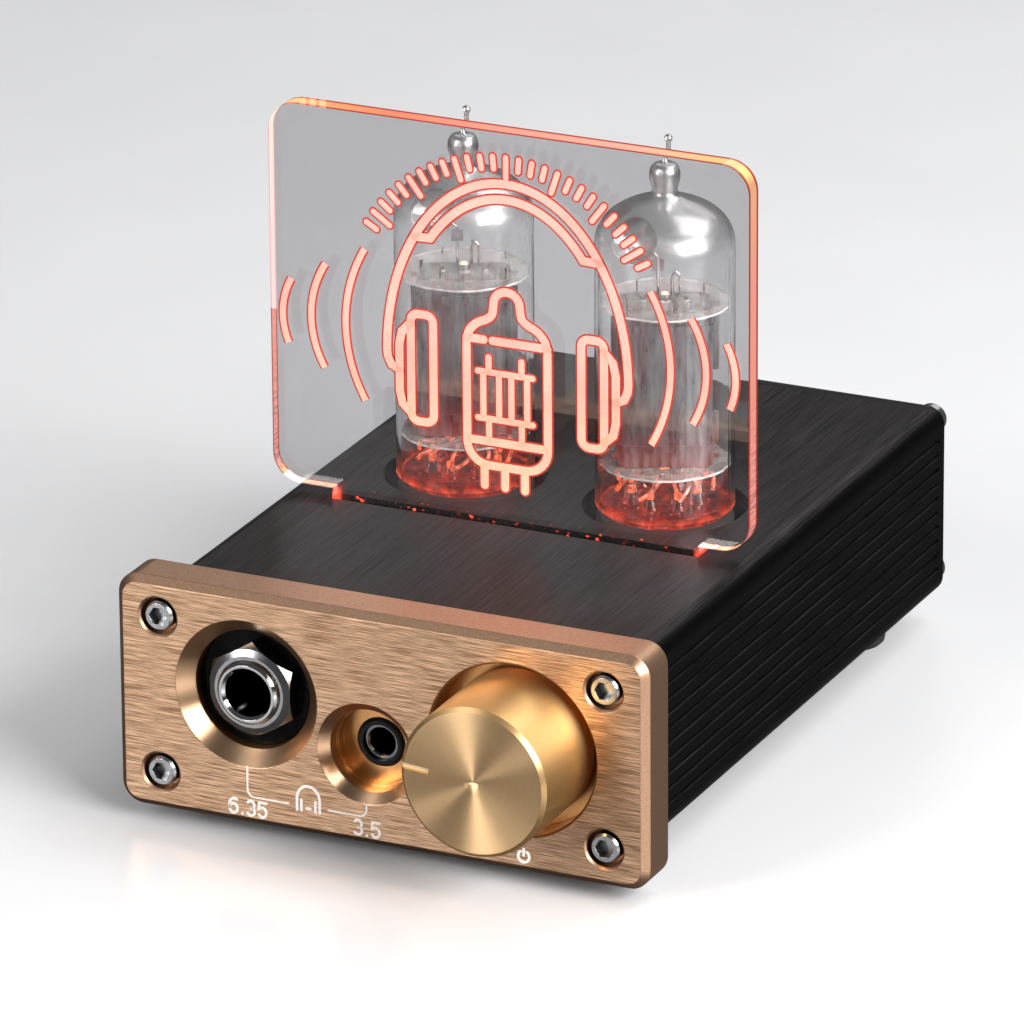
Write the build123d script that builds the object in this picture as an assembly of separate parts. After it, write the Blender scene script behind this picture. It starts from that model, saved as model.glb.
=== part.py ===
"""Valve headphone amplifier: extruded case, thick front panel, edge-lit plate and two 7-pin valves.

Millimetres. +Z is up, the front faces -Y and +X is to the right of someone facing the front.
The origin is the middle of the whole object's footprint, on the plane that the feet stand on.
"""

import math
import os

from build123d import *

# ---- driving dimensions ----

FOOT_HEIGHT = 4.7
FOOT_RADIUS = 5.0

CASE_WIDTH = 69.8
CASE_HEIGHT = 27.4
CASE_SIDE_WALL = 2.0
CASE_TOP_WALL = 1.8
CASE_CORNER = 2.6
RIDGE_COUNT = 10
RIDGE_PITCH = 2.1
RIDGE_GROOVE = 0.4

PANEL_WIDTH = 76.4
PANEL_HEIGHT = 32.6
PANEL_THICKNESS = 6.5
PANEL_CORNER = 3.0
PANEL_CHAMFER = 1.0
REAR_PANEL_THICKNESS = 2.0
BODY_LENGTH = 107.8

SCREW_X = 32.05
SCREW_RISE = 10.98
SCREW_RADIUS = 1.25
SCREW_HEAD_RADIUS = 2.1
SCREW_HEAD_HEIGHT = 2.5
SCREW_LENGTH = 10.0
SCREW_SEAT_RADIUS = 2.6
SCREW_SEAT_DEPTH = 2.6
SCREW_SEAT_RIM = 0.3
SCREW_SOCKET_RADIUS = 1.35
SCREW_SOCKET_DEPTH = 1.4
SCREW_CHANNEL_WIDTH = 5.1
SCREW_HOLE_GAP = 0.15
THREAD_GAP = 0.02

BIG_JACK_X = -19.3
BIG_JACK_Z = 20.5
BIG_RECESS_RADIUS = 10.33
BIG_RECESS_CHAMFER = 2.0
BIG_RECESS_DEPTH = 5.0
BIG_JACK_BORE = 3.25
BIG_BUSHING_RADIUS = 4.45
BIG_BUSHING_TIP = 0.0
BIG_WASHER_THICKNESS = 1.6
BIG_NUT_ACROSS_FLATS = 11.6
BIG_NUT_THICKNESS = 2.6
BIG_BODY_LENGTH = 31.0
BIG_BODY_WIDTH = 15.6
BIG_BODY_TOP = BIG_JACK_Z + 7.2
BIG_CAVITY_RADIUS = 3.7
BIG_COLLAR = 1.5
BIG_CONTACT_DISTANCES = (14.5, 23.5, 31.5)

SMALL_JACK_X = -1.97
SMALL_JACK_Z = 14.94
SMALL_RECESS_RADIUS = 7.09
SMALL_RECESS_CHAMFER = 1.3
SMALL_RECESS_DEPTH = 4.7
SMALL_RECESS_STEP = 0.3
SMALL_STEP_HEIGHT = 1.5
SMALL_JACK_BORE = 1.82
SMALL_NOZZLE_RADIUS = 3.3
SMALL_NOZZLE_TIP = 4.3
SMALL_SLEEVE_RADIUS = 2.5
SMALL_SLEEVE_TIP = 4.8
SMALL_SLEEVE_LENGTH = 4.8
SMALL_BODY_FRONT = PANEL_THICKNESS + 0.2
SMALL_BODY_LENGTH = 12.0
SMALL_BODY_WIDTH = 11.0
SMALL_BODY_TOP = SMALL_JACK_Z + 3.6
SMALL_CAVITY_RADIUS = 2.3

KNOB_X = 19.0
KNOB_Z = 19.0
KNOB_RADIUS = 10.3
KNOB_PROUD = 12.0
KNOB_SUNK = 3.4
KNOB_RIM = 0.55
KNOB_DISH = 0.25
KNOB_HOLLOW_RADIUS = 7.2
KNOB_HOLLOW_DEPTH = 3.2
KNOB_BORE_END = -9.2
KNOB_RECESS_RADIUS = 12.22
KNOB_RECESS_DEPTH = 4.5
POINTER_ANGLE = 175.0
POINTER_LENGTH = 4.0
POINTER_WIDTH = 0.8
POINTER_DEPTH = 0.6
SET_SCREW_DISTANCE = -3.0
SET_SCREW_RADIUS = 1.5
SET_SCREW_LENGTH = 5.0

SHAFT_RADIUS = 3.0
SHAFT_TIP = -8.5
SHAFT_FLAT = 0.8
POT_BUSHING_RADIUS = 3.5
POT_BUSHING_TIP = 1.6
POT_NUT_ACROSS_FLATS = 10.0
POT_NUT_THICKNESS = 1.8
POT_BODY_FRONT = PANEL_THICKNESS + 0.3
POT_BODY_DEPTH = 9.0
POT_BODY_WIDTH = 9.8
POT_TERMINAL_COUNT = 5
POT_TERMINAL_PITCH = 1.9

VALVE_X = 14.75
VALVE_DISTANCE = 59.3
VALVE_HOLE_RADIUS = 11.2
BULB_RADIUS = 9.4
BULB_WALL = 0.6
BULB_FOOT = 1.1
BUTTON_BOTTOM = 31.4
BUTTON_TOP = 33.2
BUTTON_RADIUS = 8.4
SHOULDER_START = 69.0
SHOULDER_END = 75.1
NECK = 76.5
TIP_RADIUS = 2.1
TIP_MIDDLE = 78.75
TIP_STEM_RADIUS = 0.32
TIP_BEAD = 83.5
TIP_BEAD_RADIUS = 0.57
PIN_COUNT = 7
PIN_STEP = 45
PIN_CIRCLE_RADIUS = 4.763
PIN_RADIUS = 0.5
PIN_REACH = 6.4
LEAD_RADIUS = 0.25
LOWER_MICA = 38.5
UPPER_MICA = 61.1
MICA_THICKNESS = 0.3
MICA_RADIUS = 8.7
ELECTRODE_TURN = 25.0
ANODE_LENGTH = 12.6
ANODE_WIDTH = 7.8
ANODE_CORNER = 1.8
ANODE_SHEET = 0.3
ANODE_RIB = 0.3
ANODE_RIB_INSET = 2.6
ANODE_FLANGE = 0.9
GRID_HALF_SPAN = 2.9
GRID_TURNS = 12
CATHODE_RADIUS = 0.8
CATHODE_TOP = UPPER_MICA + 1.1
HEATER_TOP = UPPER_MICA + 0.75

SOCKET_RADIUS = 9.3
SOCKET_TOP = 31.0
SOCKET_HOLE_RADIUS = 0.85
CONTACT_OUTER = 0.75
CONTACT_INNER = 0.55
CONTACT_TAIL_RADIUS = 0.4
VALVE_LAMP_RADIUS = 1.5
VALVE_LAMP_HEIGHT = 5.3

PLATE_X = -0.95
PLATE_WIDTH = 69.7
PLATE_THICKNESS = 3.0
PLATE_DISTANCE = 42.1
PLATE_BOTTOM = 33.5
PLATE_TOP = 87.3
PLATE_CORNER = 4.0
TONGUE_X = -0.2
TONGUE_WIDTH = 53.6
SLOT_GAP = 0.15
LAMP_COUNT = 5
LAMP_PITCH = 10.0
LAMP_SIZE = (3.2, 1.6, 1.4)

BOARD_THICKNESS = 1.6
MAIN_BOARD_TOP = 12.0
MAIN_BOARD_WIDTH = 65.3
MAIN_BOARD_END_GAP = 0.8
VALVE_BOARD_TOP = 20.6
VALVE_BOARD_WIDTH = 60.0
SPACER_RADIUS = 2.6
SPACER_INSET = 3.5
HEADER_COUNT = 6
HEADER_PITCH = 2.54
HEADER_PIN = 0.6
HEADER_HOLE_RADIUS = 0.5

PHONO_X = (-20.0, -6.0)
PHONO_Z = 20.0
PHONO_SHELL_RADIUS = 4.15
PHONO_SHELL_WALL = 0.7
PHONO_SHOULDER = 0.2
PHONO_SHELL_SUNK = 3.0
PHONO_REACH = 9.0
PHONO_CENTRE_RADIUS = 1.98
PHONO_BORE = 1.65
PHONO_BLOCK_DEPTH = 9.0
POWER_X = 19.0
POWER_Z = 17.5
POWER_BORE = 3.15
POWER_PIN_RADIUS = 1.0
POWER_BODY_DEPTH = 12.0

CAPACITOR_PLACES = (-24.0, -14.0, 14.0, 24.0)
CAPACITOR_DISTANCE = 84.0
CAPACITOR_RADIUS = 4.0
CAPACITOR_HEIGHT = 13.0
FILM_CAPACITOR_PLACES = (6.0, 18.0)
FILM_CAPACITOR_DISTANCE = 34.0
FILM_CAPACITOR_SIZE = (9.0, 5.0, 9.5)
CHIP_DISTANCE = 52.0
CHIP_SIZE = (9.4, 6.4, 3.4)
CHIP_LEG_REACH = 3.4
CHIP_LEGS = 4
CHIP_LEG_PITCH = 2.54

# ---- places worked out from them ----

CASE_BOTTOM = FOOT_HEIGHT
CASE_TOP = CASE_BOTTOM + CASE_HEIGHT
CASE_MIDDLE = (CASE_BOTTOM + CASE_TOP) / 2
PANEL_FRONT = KNOB_PROUD - (KNOB_PROUD + BODY_LENGTH + PHONO_REACH) / 2
CASE_LENGTH = BODY_LENGTH - PANEL_THICKNESS - REAR_PANEL_THICKNESS


def behind(distance):
    """Y of a plane that lies this far behind the front panel's face."""
    return PANEL_FRONT + distance


CASE_FRONT = behind(PANEL_THICKNESS)
REAR_FACE = behind(BODY_LENGTH)
REAR_INSIDE = REAR_FACE - REAR_PANEL_THICKNESS
VALVE_Y = behind(VALVE_DISTANCE)
PLATE_FRONT = behind(PLATE_DISTANCE)
SCREW_PLACES = [(x, CASE_MIDDLE + z) for x in (-SCREW_X, SCREW_X) for z in (-SCREW_RISE, SCREW_RISE)]
FIRST_PIN_ANGLE = 135
PIN_ANGLES = [math.radians(FIRST_PIN_ANGLE + PIN_STEP * step) for step in range(PIN_COUNT)]
PIN_PLACES = [
    (PIN_CIRCLE_RADIUS * math.cos(angle), PIN_CIRCLE_RADIUS * math.sin(angle)) for angle in PIN_ANGLES
]
LAMP_PLACES = [TONGUE_X + LAMP_PITCH * (index - (LAMP_COUNT - 1) / 2) for index in range(LAMP_COUNT)]
MAIN_BOARD_BOTTOM = MAIN_BOARD_TOP - BOARD_THICKNESS
VALVE_BOARD_BOTTOM = VALVE_BOARD_TOP - BOARD_THICKNESS
VALVE_BOARD_FRONT = PLATE_FRONT - 3.5
VALVE_BOARD_BACK = VALVE_Y + 13.5
SPACER_PLACES = [
    (side * (VALVE_BOARD_WIDTH / 2 - SPACER_INSET), y)
    for side in (-1, 1)
    for y in (VALVE_BOARD_FRONT + SPACER_INSET, VALVE_BOARD_BACK - SPACER_INSET)
]
HEADER_Y = VALVE_BOARD_BACK - 2.0
HEADER_PINS = [(HEADER_PITCH * (index - (HEADER_COUNT - 1) / 2), HEADER_Y) for index in range(HEADER_COUNT)]

# ---- shape helpers ----


def slab(profile, y_front, depth):
    """A profile drawn as the front sees it (X right, Z up), from y_front back by depth."""
    plane = Plane(origin=(0, y_front, 0), x_dir=(1, 0, 0), z_dir=(0, -1, 0))
    return extrude(plane * profile, amount=-depth)


def rod_y(x, z, radius, y_front, depth):
    """A round bar along Y."""
    return slab(Pos(x, z) * Circle(radius), y_front, depth)


def rod_z(x, y, radius, z_low, z_high):
    """A round bar along Z."""
    return Pos(x, y, z_low) * extrude(Circle(radius), amount=z_high - z_low)


def block(x_range, y_range, z_range):
    """A box between three pairs of limits."""
    size = [high - low for low, high in (x_range, y_range, z_range)]
    middle = [(high + low) / 2 for low, high in (x_range, y_range, z_range)]
    return Pos(*middle) * Box(*size)


def centred(middle, size):
    """The two limits of a span with this middle and size."""
    return (middle - size / 2, middle + size / 2)


def turned_y(outline, x, z):
    """A turned piece about an axis along Y through (x, z). The outline's points are (radius, y)."""
    return Pos(x, 0, z) * revolve(make_face(Polyline(*outline, close=True)), Axis.Y)


def turned_z(profile, x, y):
    """A turned piece about an axis along Z through (x, y). The profile is a face in (radius, z)."""
    return Pos(x, y, 0) * revolve(Plane.XZ * profile, Axis.Z)


def wire(points, radius):
    """A bent round wire through the points."""
    bends = [Pos(*point) * Sphere(radius) for point in points[1:-1]]
    lengths = []
    for start, end in zip(points, points[1:]):
        direction = Vector(*end) - Vector(*start)
        plane = Plane(origin=start, z_dir=direction)
        lengths.append(extrude(plane * Circle(radius), amount=direction.length))
    return lengths[0].fuse(*lengths[1:], *bends) if len(lengths) > 1 else lengths[0]


def group(pieces):
    """Several separate solids that share one node."""
    return Compound(children=[solid for piece in pieces for solid in piece.solids()])


def leaf_spring(x, line, thickness, width):
    """A bent strip of sheet, drawn from the side as points in (y, z)."""
    plane = Plane(origin=(x, 0, 0), x_dir=(0, 1, 0), z_dir=(1, 0, 0))
    return extrude(plane * trace(Polyline(*line), thickness), amount=width / 2, both=True)


def hexagon_nut(x, z, across_flats, hole_radius, y_front, thickness):
    """A hexagon nut along Y, point upwards, with its front corners rounded off by two cones."""
    corner = across_flats / math.sqrt(3)
    prism = slab(Pos(x, z) * RegularPolygon(corner, 6, rotation=30), y_front, thickness)
    flat_radius = across_flats / 2
    outline = [
        (0, y_front),
        (flat_radius - 0.8, y_front),
        (flat_radius + 0.1, y_front + 0.35),
        (corner, y_front + 1.2),
        (corner, y_front + thickness),
        (0, y_front + thickness),
    ]
    return (prism & turned_y(outline, x, z)) - rod_y(x, z, hole_radius, y_front, thickness)


def threaded_outline(radius, inner_radius, y_front, y_back, pitch, depth):
    """Outline of a bushing whose outside is ringed like a screw thread. Points are (radius, y)."""
    outline = [(inner_radius, y_front), (radius - depth, y_front)]
    turns = int((y_back - y_front) / pitch)
    for turn in range(turns):
        start = y_front + turn * pitch
        outline += [(radius, start + pitch / 2), (radius - depth, start + pitch)]
    outline += [(radius - depth, y_back), (inner_radius, y_back)]
    return outline


# ---- case ----


def case_profile():
    """The sleeve's cross-section: ridged sides, corner screw channels and rails for the main board."""
    outer = Pos(0, CASE_MIDDLE) * RectangleRounded(CASE_WIDTH, CASE_HEIGHT, CASE_CORNER)
    inner_half = CASE_WIDTH / 2 - CASE_SIDE_WALL
    inner = Pos(0, CASE_MIDDLE) * RectangleRounded(2 * inner_half, CASE_HEIGHT - 2 * CASE_TOP_WALL, 0.8)
    for x, z in SCREW_PLACES:
        inner -= Pos(x, z) * RectangleRounded(SCREW_CHANNEL_WIDTH, SCREW_CHANNEL_WIDTH, 1.5)
    rail_depth, rail_height, rail_gap = 1.6, 0.8, 0.1
    rail_offset = rail_gap + rail_height / 2
    for side in (-1, 1):
        rail_x = side * (inner_half - rail_depth / 2)
        for z in (MAIN_BOARD_TOP + rail_offset, MAIN_BOARD_BOTTOM - rail_offset):
            inner -= Pos(rail_x, z) * Rectangle(rail_depth, rail_height)
    profile = outer - inner
    for x, z in SCREW_PLACES:
        profile -= Pos(x, z) * Circle(SCREW_RADIUS + THREAD_GAP)
    for side in (-1, 1):
        for index in range(RIDGE_COUNT):
            z = CASE_MIDDLE + RIDGE_PITCH * (index - (RIDGE_COUNT - 1) / 2)
            profile -= Pos(side * CASE_WIDTH / 2, z) * Circle(RIDGE_GROOVE)
    return profile


def case_sleeve():
    """The extruded sleeve, with the valves' two round openings and the plate's slot cut through its top."""
    sleeve = slab(case_profile(), CASE_FRONT, CASE_LENGTH)
    for side in (-1, 1):
        sleeve -= rod_z(side * VALVE_X, VALVE_Y, VALVE_HOLE_RADIUS, CASE_MIDDLE, CASE_TOP + 1)
    slot_x = centred(TONGUE_X, TONGUE_WIDTH + 2 * SLOT_GAP)
    slot_y = (PLATE_FRONT - SLOT_GAP, PLATE_FRONT + PLATE_THICKNESS + SLOT_GAP)
    return sleeve - block(slot_x, slot_y, (CASE_MIDDLE, CASE_TOP + 1))


def recess(x, z, radius, chamfer_width, depth):
    """The space of a round recess in the front panel, with a conical rim."""
    outline = [
        (0, PANEL_FRONT),
        (radius, PANEL_FRONT),
        (radius - chamfer_width, PANEL_FRONT + chamfer_width),
        (radius - chamfer_width, PANEL_FRONT + depth),
        (0, PANEL_FRONT + depth),
    ]
    return turned_y(outline, x, z)


def screw_seat(x, z):
    """The space of a counterbored screw hole through the front panel."""
    seat, back = behind(SCREW_SEAT_DEPTH), behind(PANEL_THICKNESS)
    outline = [
        (0, PANEL_FRONT),
        (SCREW_SEAT_RADIUS + SCREW_SEAT_RIM, PANEL_FRONT),
        (SCREW_SEAT_RADIUS, PANEL_FRONT + SCREW_SEAT_RIM),
        (SCREW_SEAT_RADIUS, seat),
        (SCREW_RADIUS + SCREW_HOLE_GAP, seat),
        (SCREW_RADIUS + SCREW_HOLE_GAP, back),
        (0, back),
    ]
    return turned_y(outline, x, z)


def front_panel():
    """The thick panel, with a recess for each jack, one for the knob, and four counterbored screw holes."""
    profile = Pos(0, CASE_MIDDLE) * RectangleRounded(PANEL_WIDTH, PANEL_HEIGHT, PANEL_CORNER)
    panel = slab(profile, PANEL_FRONT, PANEL_THICKNESS)
    panel = chamfer(panel.faces().sort_by(Axis.Y)[0].edges(), PANEL_CHAMFER)
    panel -= recess(BIG_JACK_X, BIG_JACK_Z, BIG_RECESS_RADIUS, BIG_RECESS_CHAMFER, BIG_RECESS_DEPTH)
    upper_depth = SMALL_RECESS_DEPTH - SMALL_STEP_HEIGHT
    panel -= recess(SMALL_JACK_X, SMALL_JACK_Z, SMALL_RECESS_RADIUS, SMALL_RECESS_CHAMFER, upper_depth)
    panel -= recess(KNOB_X, KNOB_Z, KNOB_RECESS_RADIUS, 0.3, KNOB_RECESS_DEPTH)
    lower_radius = SMALL_RECESS_RADIUS - SMALL_RECESS_CHAMFER - SMALL_RECESS_STEP
    bores = [
        (SMALL_JACK_X, SMALL_JACK_Z, lower_radius, SMALL_RECESS_DEPTH),
        (SMALL_JACK_X, SMALL_JACK_Z, SMALL_NOZZLE_RADIUS + 0.15, PANEL_THICKNESS),
        (BIG_JACK_X, BIG_JACK_Z, BIG_BUSHING_RADIUS + 0.15, PANEL_THICKNESS),
        (KNOB_X, KNOB_Z, POT_BUSHING_RADIUS + 0.15, PANEL_THICKNESS),
    ]
    for x, z, radius, depth in bores:
        panel -= rod_y(x, z, radius, PANEL_FRONT, depth)
    for x, z in SCREW_PLACES:
        panel -= screw_seat(x, z)
    return panel


def rear_panel():
    """The flat rear panel, pierced for its screws and the rear sockets."""
    profile = Pos(0, CASE_MIDDLE) * RectangleRounded(CASE_WIDTH, CASE_HEIGHT, CASE_CORNER)
    for x, z in SCREW_PLACES:
        profile -= Pos(x, z) * Circle(SCREW_RADIUS + SCREW_HOLE_GAP)
    for x in PHONO_X:
        profile -= Pos(x, PHONO_Z) * Circle(PHONO_SHELL_RADIUS + 0.35)
    profile -= Pos(POWER_X, POWER_Z) * Circle(POWER_BORE + 1.2)
    panel = slab(profile, REAR_INSIDE, REAR_PANEL_THICKNESS)
    outline = panel.faces().sort_by(Axis.Y)[-1].outer_wire().edges()
    return chamfer(outline, 0.4)


def socket_screw(x, z, head_y, inward):
    """A hexagon-socket cap screw. Its head starts at head_y; inward is +1 if its shank points to the rear."""
    rim = 0.3
    shoulder = head_y + inward * SCREW_HEAD_HEIGHT
    end = shoulder + inward * SCREW_LENGTH
    outline = [
        (0, head_y),
        (SCREW_HEAD_RADIUS - rim, head_y),
        (SCREW_HEAD_RADIUS, head_y + inward * rim),
        (SCREW_HEAD_RADIUS, shoulder),
        (SCREW_RADIUS, shoulder),
        (SCREW_RADIUS, end),
        (0, end),
    ]
    socket = Pos(x, z) * RegularPolygon(SCREW_SOCKET_RADIUS, 6)
    socket_y = head_y if inward > 0 else head_y - SCREW_SOCKET_DEPTH
    return turned_y(outline, x, z) - slab(socket, socket_y, SCREW_SOCKET_DEPTH)


def front_screws():
    """Four screws through the front panel into the sleeve's corner channels."""
    head_y = PANEL_FRONT + SCREW_SEAT_DEPTH - SCREW_HEAD_HEIGHT
    return group([socket_screw(x, z, head_y, 1) for x, z in SCREW_PLACES])


def rear_screws():
    """Four screws whose heads stand proud of the rear panel."""
    head_y = REAR_FACE + SCREW_HEAD_HEIGHT
    return group([socket_screw(x, z, head_y, -1) for x, z in SCREW_PLACES])


def rubber_feet():
    """Four stick-on feet, a little narrower at the foot than at the case."""
    draft = 0.6
    profile = make_face(
        Polyline(
            (0, 0),
            (FOOT_RADIUS - draft - 0.5, 0),
            (FOOT_RADIUS - draft, 0.5),
            (FOOT_RADIUS, FOOT_HEIGHT),
            (0, FOOT_HEIGHT),
            close=True,
        )
    )
    inset = 9.0
    x = CASE_WIDTH / 2 - inset
    places = [(sx * x, y) for sx in (-1, 1) for y in (CASE_FRONT + inset, REAR_INSIDE - inset)]
    return group([turned_z(profile, *place) for place in places])


# ---- circuit boards ----

def main_board():
    """The board that slides into the sleeve's rails."""
    y_range = (CASE_FRONT + MAIN_BOARD_END_GAP, REAR_INSIDE - MAIN_BOARD_END_GAP)
    board = block(centred(0, MAIN_BOARD_WIDTH), y_range, (MAIN_BOARD_BOTTOM, MAIN_BOARD_TOP))
    for x, y in HEADER_PINS:
        board -= rod_z(x, y, HEADER_HOLE_RADIUS, MAIN_BOARD_BOTTOM, MAIN_BOARD_TOP)
    return board


def valve_board():
    """The raised board that carries both valve sockets and the plate's lamps."""
    board = block(
        centred(0, VALVE_BOARD_WIDTH),
        (VALVE_BOARD_FRONT, VALVE_BOARD_BACK),
        (VALVE_BOARD_BOTTOM, VALVE_BOARD_TOP),
    )
    for side in (-1, 1):
        for x, y in PIN_PLACES:
            board -= rod_z(side * VALVE_X + x, VALVE_Y + y, 0.6, VALVE_BOARD_BOTTOM, VALVE_BOARD_TOP)
    for x, y in HEADER_PINS:
        board -= rod_z(x, y, HEADER_HOLE_RADIUS, VALVE_BOARD_BOTTOM, VALVE_BOARD_TOP)
    return board


def board_spacers():
    """Hexagon spacers that carry the valve board on the main board."""
    profile = RegularPolygon(SPACER_RADIUS, 6)
    height = VALVE_BOARD_BOTTOM - MAIN_BOARD_TOP
    return group([Pos(x, y, MAIN_BOARD_TOP) * extrude(profile, amount=height) for x, y in SPACER_PLACES])


def header_housing():
    """The insulating strip between the boards, around the header's pins."""
    x_range = centred(0, HEADER_COUNT * HEADER_PITCH)
    housing = block(x_range, centred(HEADER_Y, 2.5), (MAIN_BOARD_TOP, VALVE_BOARD_BOTTOM))
    for x, y in HEADER_PINS:
        housing -= rod_z(x, y, HEADER_HOLE_RADIUS, MAIN_BOARD_TOP, VALVE_BOARD_BOTTOM)
    return housing


def header_pins():
    """Square pins through both boards, standing a little proud of each."""
    z_range = (MAIN_BOARD_BOTTOM - 1.2, VALVE_BOARD_TOP + 1.2)
    pins = [block(centred(x, HEADER_PIN), centred(y, HEADER_PIN), z_range) for x, y in HEADER_PINS]
    return group(pins)


def valve_lamps():
    """A round lamp with a domed top in the middle of each valve socket."""
    radius, height = VALVE_LAMP_RADIUS, VALVE_LAMP_HEIGHT
    profile = make_face(
        [
            Line((0, 0), (radius, 0)),
            Line((radius, 0), (radius, height - radius)),
            RadiusArc((radius, height - radius), (0, height), -radius),
            Line((0, height), (0, 0)),
        ]
    )
    lifted = Pos(0, VALVE_BOARD_TOP) * profile
    return group([turned_z(lifted, side * VALVE_X, VALVE_Y) for side in (-1, 1)])


def slot_lamps():
    """The row of chip lamps that light the plate's tongue from below."""
    length, width, height = LAMP_SIZE
    y = PLATE_FRONT + PLATE_THICKNESS / 2
    z_range = (VALVE_BOARD_TOP, VALVE_BOARD_TOP + height)
    return group([block(centred(x, length), centred(y, width), z_range) for x in LAMP_PLACES])


def light_plate():
    """The acrylic plate, with a tongue that stands on the valve board and is notched over the lamps."""
    middle = (PLATE_BOTTOM + PLATE_TOP) / 2
    face = Pos(PLATE_X, middle) * RectangleRounded(PLATE_WIDTH, PLATE_TOP - PLATE_BOTTOM, PLATE_CORNER)
    tongue_bottom = VALVE_BOARD_TOP + THREAD_GAP
    tongue_height = PLATE_BOTTOM + 1 - tongue_bottom
    face += Pos(TONGUE_X, tongue_bottom + tongue_height / 2) * Rectangle(TONGUE_WIDTH, tongue_height)
    notch_width, notch_height = LAMP_SIZE[0] + 0.8, LAMP_SIZE[2] + 0.5
    for x in LAMP_PLACES:
        face -= Pos(x, tongue_bottom) * Rectangle(notch_width, 2 * notch_height)
    return slab(face, PLATE_FRONT, PLATE_THICKNESS)


# ---- valves and their sockets ----

def valve_socket(x):
    """Moulded 7-pin socket on the valve board, with a hole in its middle for a lamp."""
    body = rod_z(x, VALVE_Y, SOCKET_RADIUS, VALVE_BOARD_TOP, SOCKET_TOP)
    body = chamfer(body.edges().sort_by(Axis.Z)[-1], 0.5)
    body -= rod_z(x, VALVE_Y, VALVE_LAMP_RADIUS + 0.2, VALVE_BOARD_TOP, SOCKET_TOP)
    for dx, dy in PIN_PLACES:
        body -= rod_z(x + dx, VALVE_Y + dy, SOCKET_HOLE_RADIUS, VALVE_BOARD_TOP, SOCKET_TOP)
    return body


def socket_contacts(x):
    """Seven sleeve contacts, each with a tail through the valve board."""
    low, high = VALVE_BOARD_TOP + 2.5, SOCKET_TOP - 1.0
    contacts = []
    for dx, dy in PIN_PLACES:
        place = (x + dx, VALVE_Y + dy)
        sleeve = rod_z(*place, CONTACT_OUTER, low, high) - rod_z(*place, CONTACT_INNER, low + 0.6, high)
        contacts.append(sleeve + rod_z(*place, CONTACT_TAIL_RADIUS, VALVE_BOARD_BOTTOM - 1.0, low + 0.3))
    return group(contacts)


def bulb_outside():
    """Half of the bulb's outer shape, as lines and arcs in (radius, z) from the foot to the tip bead."""
    foot, stem = BULB_FOOT, TIP_STEM_RADIUS
    bead_bottom = TIP_BEAD - math.sqrt(TIP_BEAD_RADIUS**2 - stem**2)
    tip_top = TIP_MIDDLE + TIP_RADIUS + 0.25
    return [
        RadiusArc((BULB_RADIUS - foot, BUTTON_BOTTOM), (BULB_RADIUS, BUTTON_BOTTOM + foot), foot),
        Line((BULB_RADIUS, BUTTON_BOTTOM + foot), (BULB_RADIUS, SHOULDER_START)),
        Spline(
            [
                (BULB_RADIUS, SHOULDER_START),
                (7.7, 73.1),
                (4.2, SHOULDER_END),
                (1.75, NECK),
                (TIP_RADIUS, TIP_MIDDLE),
                (1.25, 80.4),
                (stem, tip_top),
            ],
            tangents=[(0, 1), (-0.2, 1)],
        ),
        Line((stem, tip_top), (stem, bead_bottom)),
        ThreePointArc((stem, bead_bottom), (TIP_BEAD_RADIUS, TIP_BEAD), (0, TIP_BEAD + TIP_BEAD_RADIUS)),
    ]


def bulb_inside():
    """Half of the bulb's inner shape, from the foot up to the hollow of the exhaust tip."""
    inner = BULB_RADIUS - BULB_WALL
    return [
        Line((inner, BUTTON_BOTTOM - 1), (inner, SHOULDER_START)),
        Spline(
            [
                (inner, SHOULDER_START),
                (7.2, 72.6),
                (3.9, SHOULDER_END - 0.7),
                (1.1, NECK),
                (TIP_RADIUS - 0.5, TIP_MIDDLE),
                (0, TIP_MIDDLE + TIP_RADIUS - 0.6),
            ],
            tangents=[(0, 1), (-1, 0)],
        ),
    ]


def valve_bulb(x):
    """The glass bulb, open below, where the button closes it."""
    outside = bulb_outside()
    axis = Line((0, TIP_BEAD + TIP_BEAD_RADIUS), (0, BUTTON_BOTTOM))
    floor = Line((0, BUTTON_BOTTOM), outside[0] @ 0)
    hollow = bulb_inside()
    hollow_axis = Line(hollow[1] @ 1, (0, BUTTON_BOTTOM - 1))
    hollow_floor = Line((0, BUTTON_BOTTOM - 1), hollow[0] @ 0)
    solid = revolve(Plane.XZ * make_face([*outside, axis, floor]), Axis.Z)
    space = revolve(Plane.XZ * make_face([*hollow, hollow_axis, hollow_floor]), Axis.Z)
    return Pos(x, VALVE_Y, 0) * (solid - space)


def valve_button(x):
    """The glass base disc, with a small glass cone round each pin and the pins' holes."""
    disc = rod_z(0, 0, BUTTON_RADIUS, BUTTON_BOTTOM, BUTTON_TOP)
    disc = fillet(disc.edges(), 0.4)
    cone_height, overlap = 1.5, 0.1
    cone_middle = BUTTON_TOP - overlap + cone_height / 2
    for dx, dy in PIN_PLACES:
        disc += Pos(dx, dy, cone_middle) * Cone(1.3, 0.75, cone_height)
    for dx, dy in PIN_PLACES:
        disc -= rod_z(dx, dy, PIN_RADIUS + THREAD_GAP, BUTTON_BOTTOM - 1, BUTTON_TOP + 2)
    return Pos(x, VALVE_Y, 0) * disc


def valve_pins(x):
    """Seven pins, each going on inside the bulb as a bent lead up to the lower mica."""
    pin_bottom, pin_top = SOCKET_TOP - PIN_REACH, BUTTON_TOP + 2.2
    pins = []
    for index, (dx, dy) in enumerate(PIN_PLACES):
        pull = 0.55 + 0.15 * (index % 3)
        knee = (dx * pull, dy * pull, pin_top + 1.0 + 0.4 * (index % 2))
        lead = wire([(dx, dy, pin_top - 0.4), knee, (*knee[:2], LOWER_MICA - 0.1)], LEAD_RADIUS)
        pins.append(rod_z(dx, dy, PIN_RADIUS, pin_bottom, pin_top) + lead)
    return group([Pos(x, VALVE_Y, 0) * pin for pin in pins])


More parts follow.
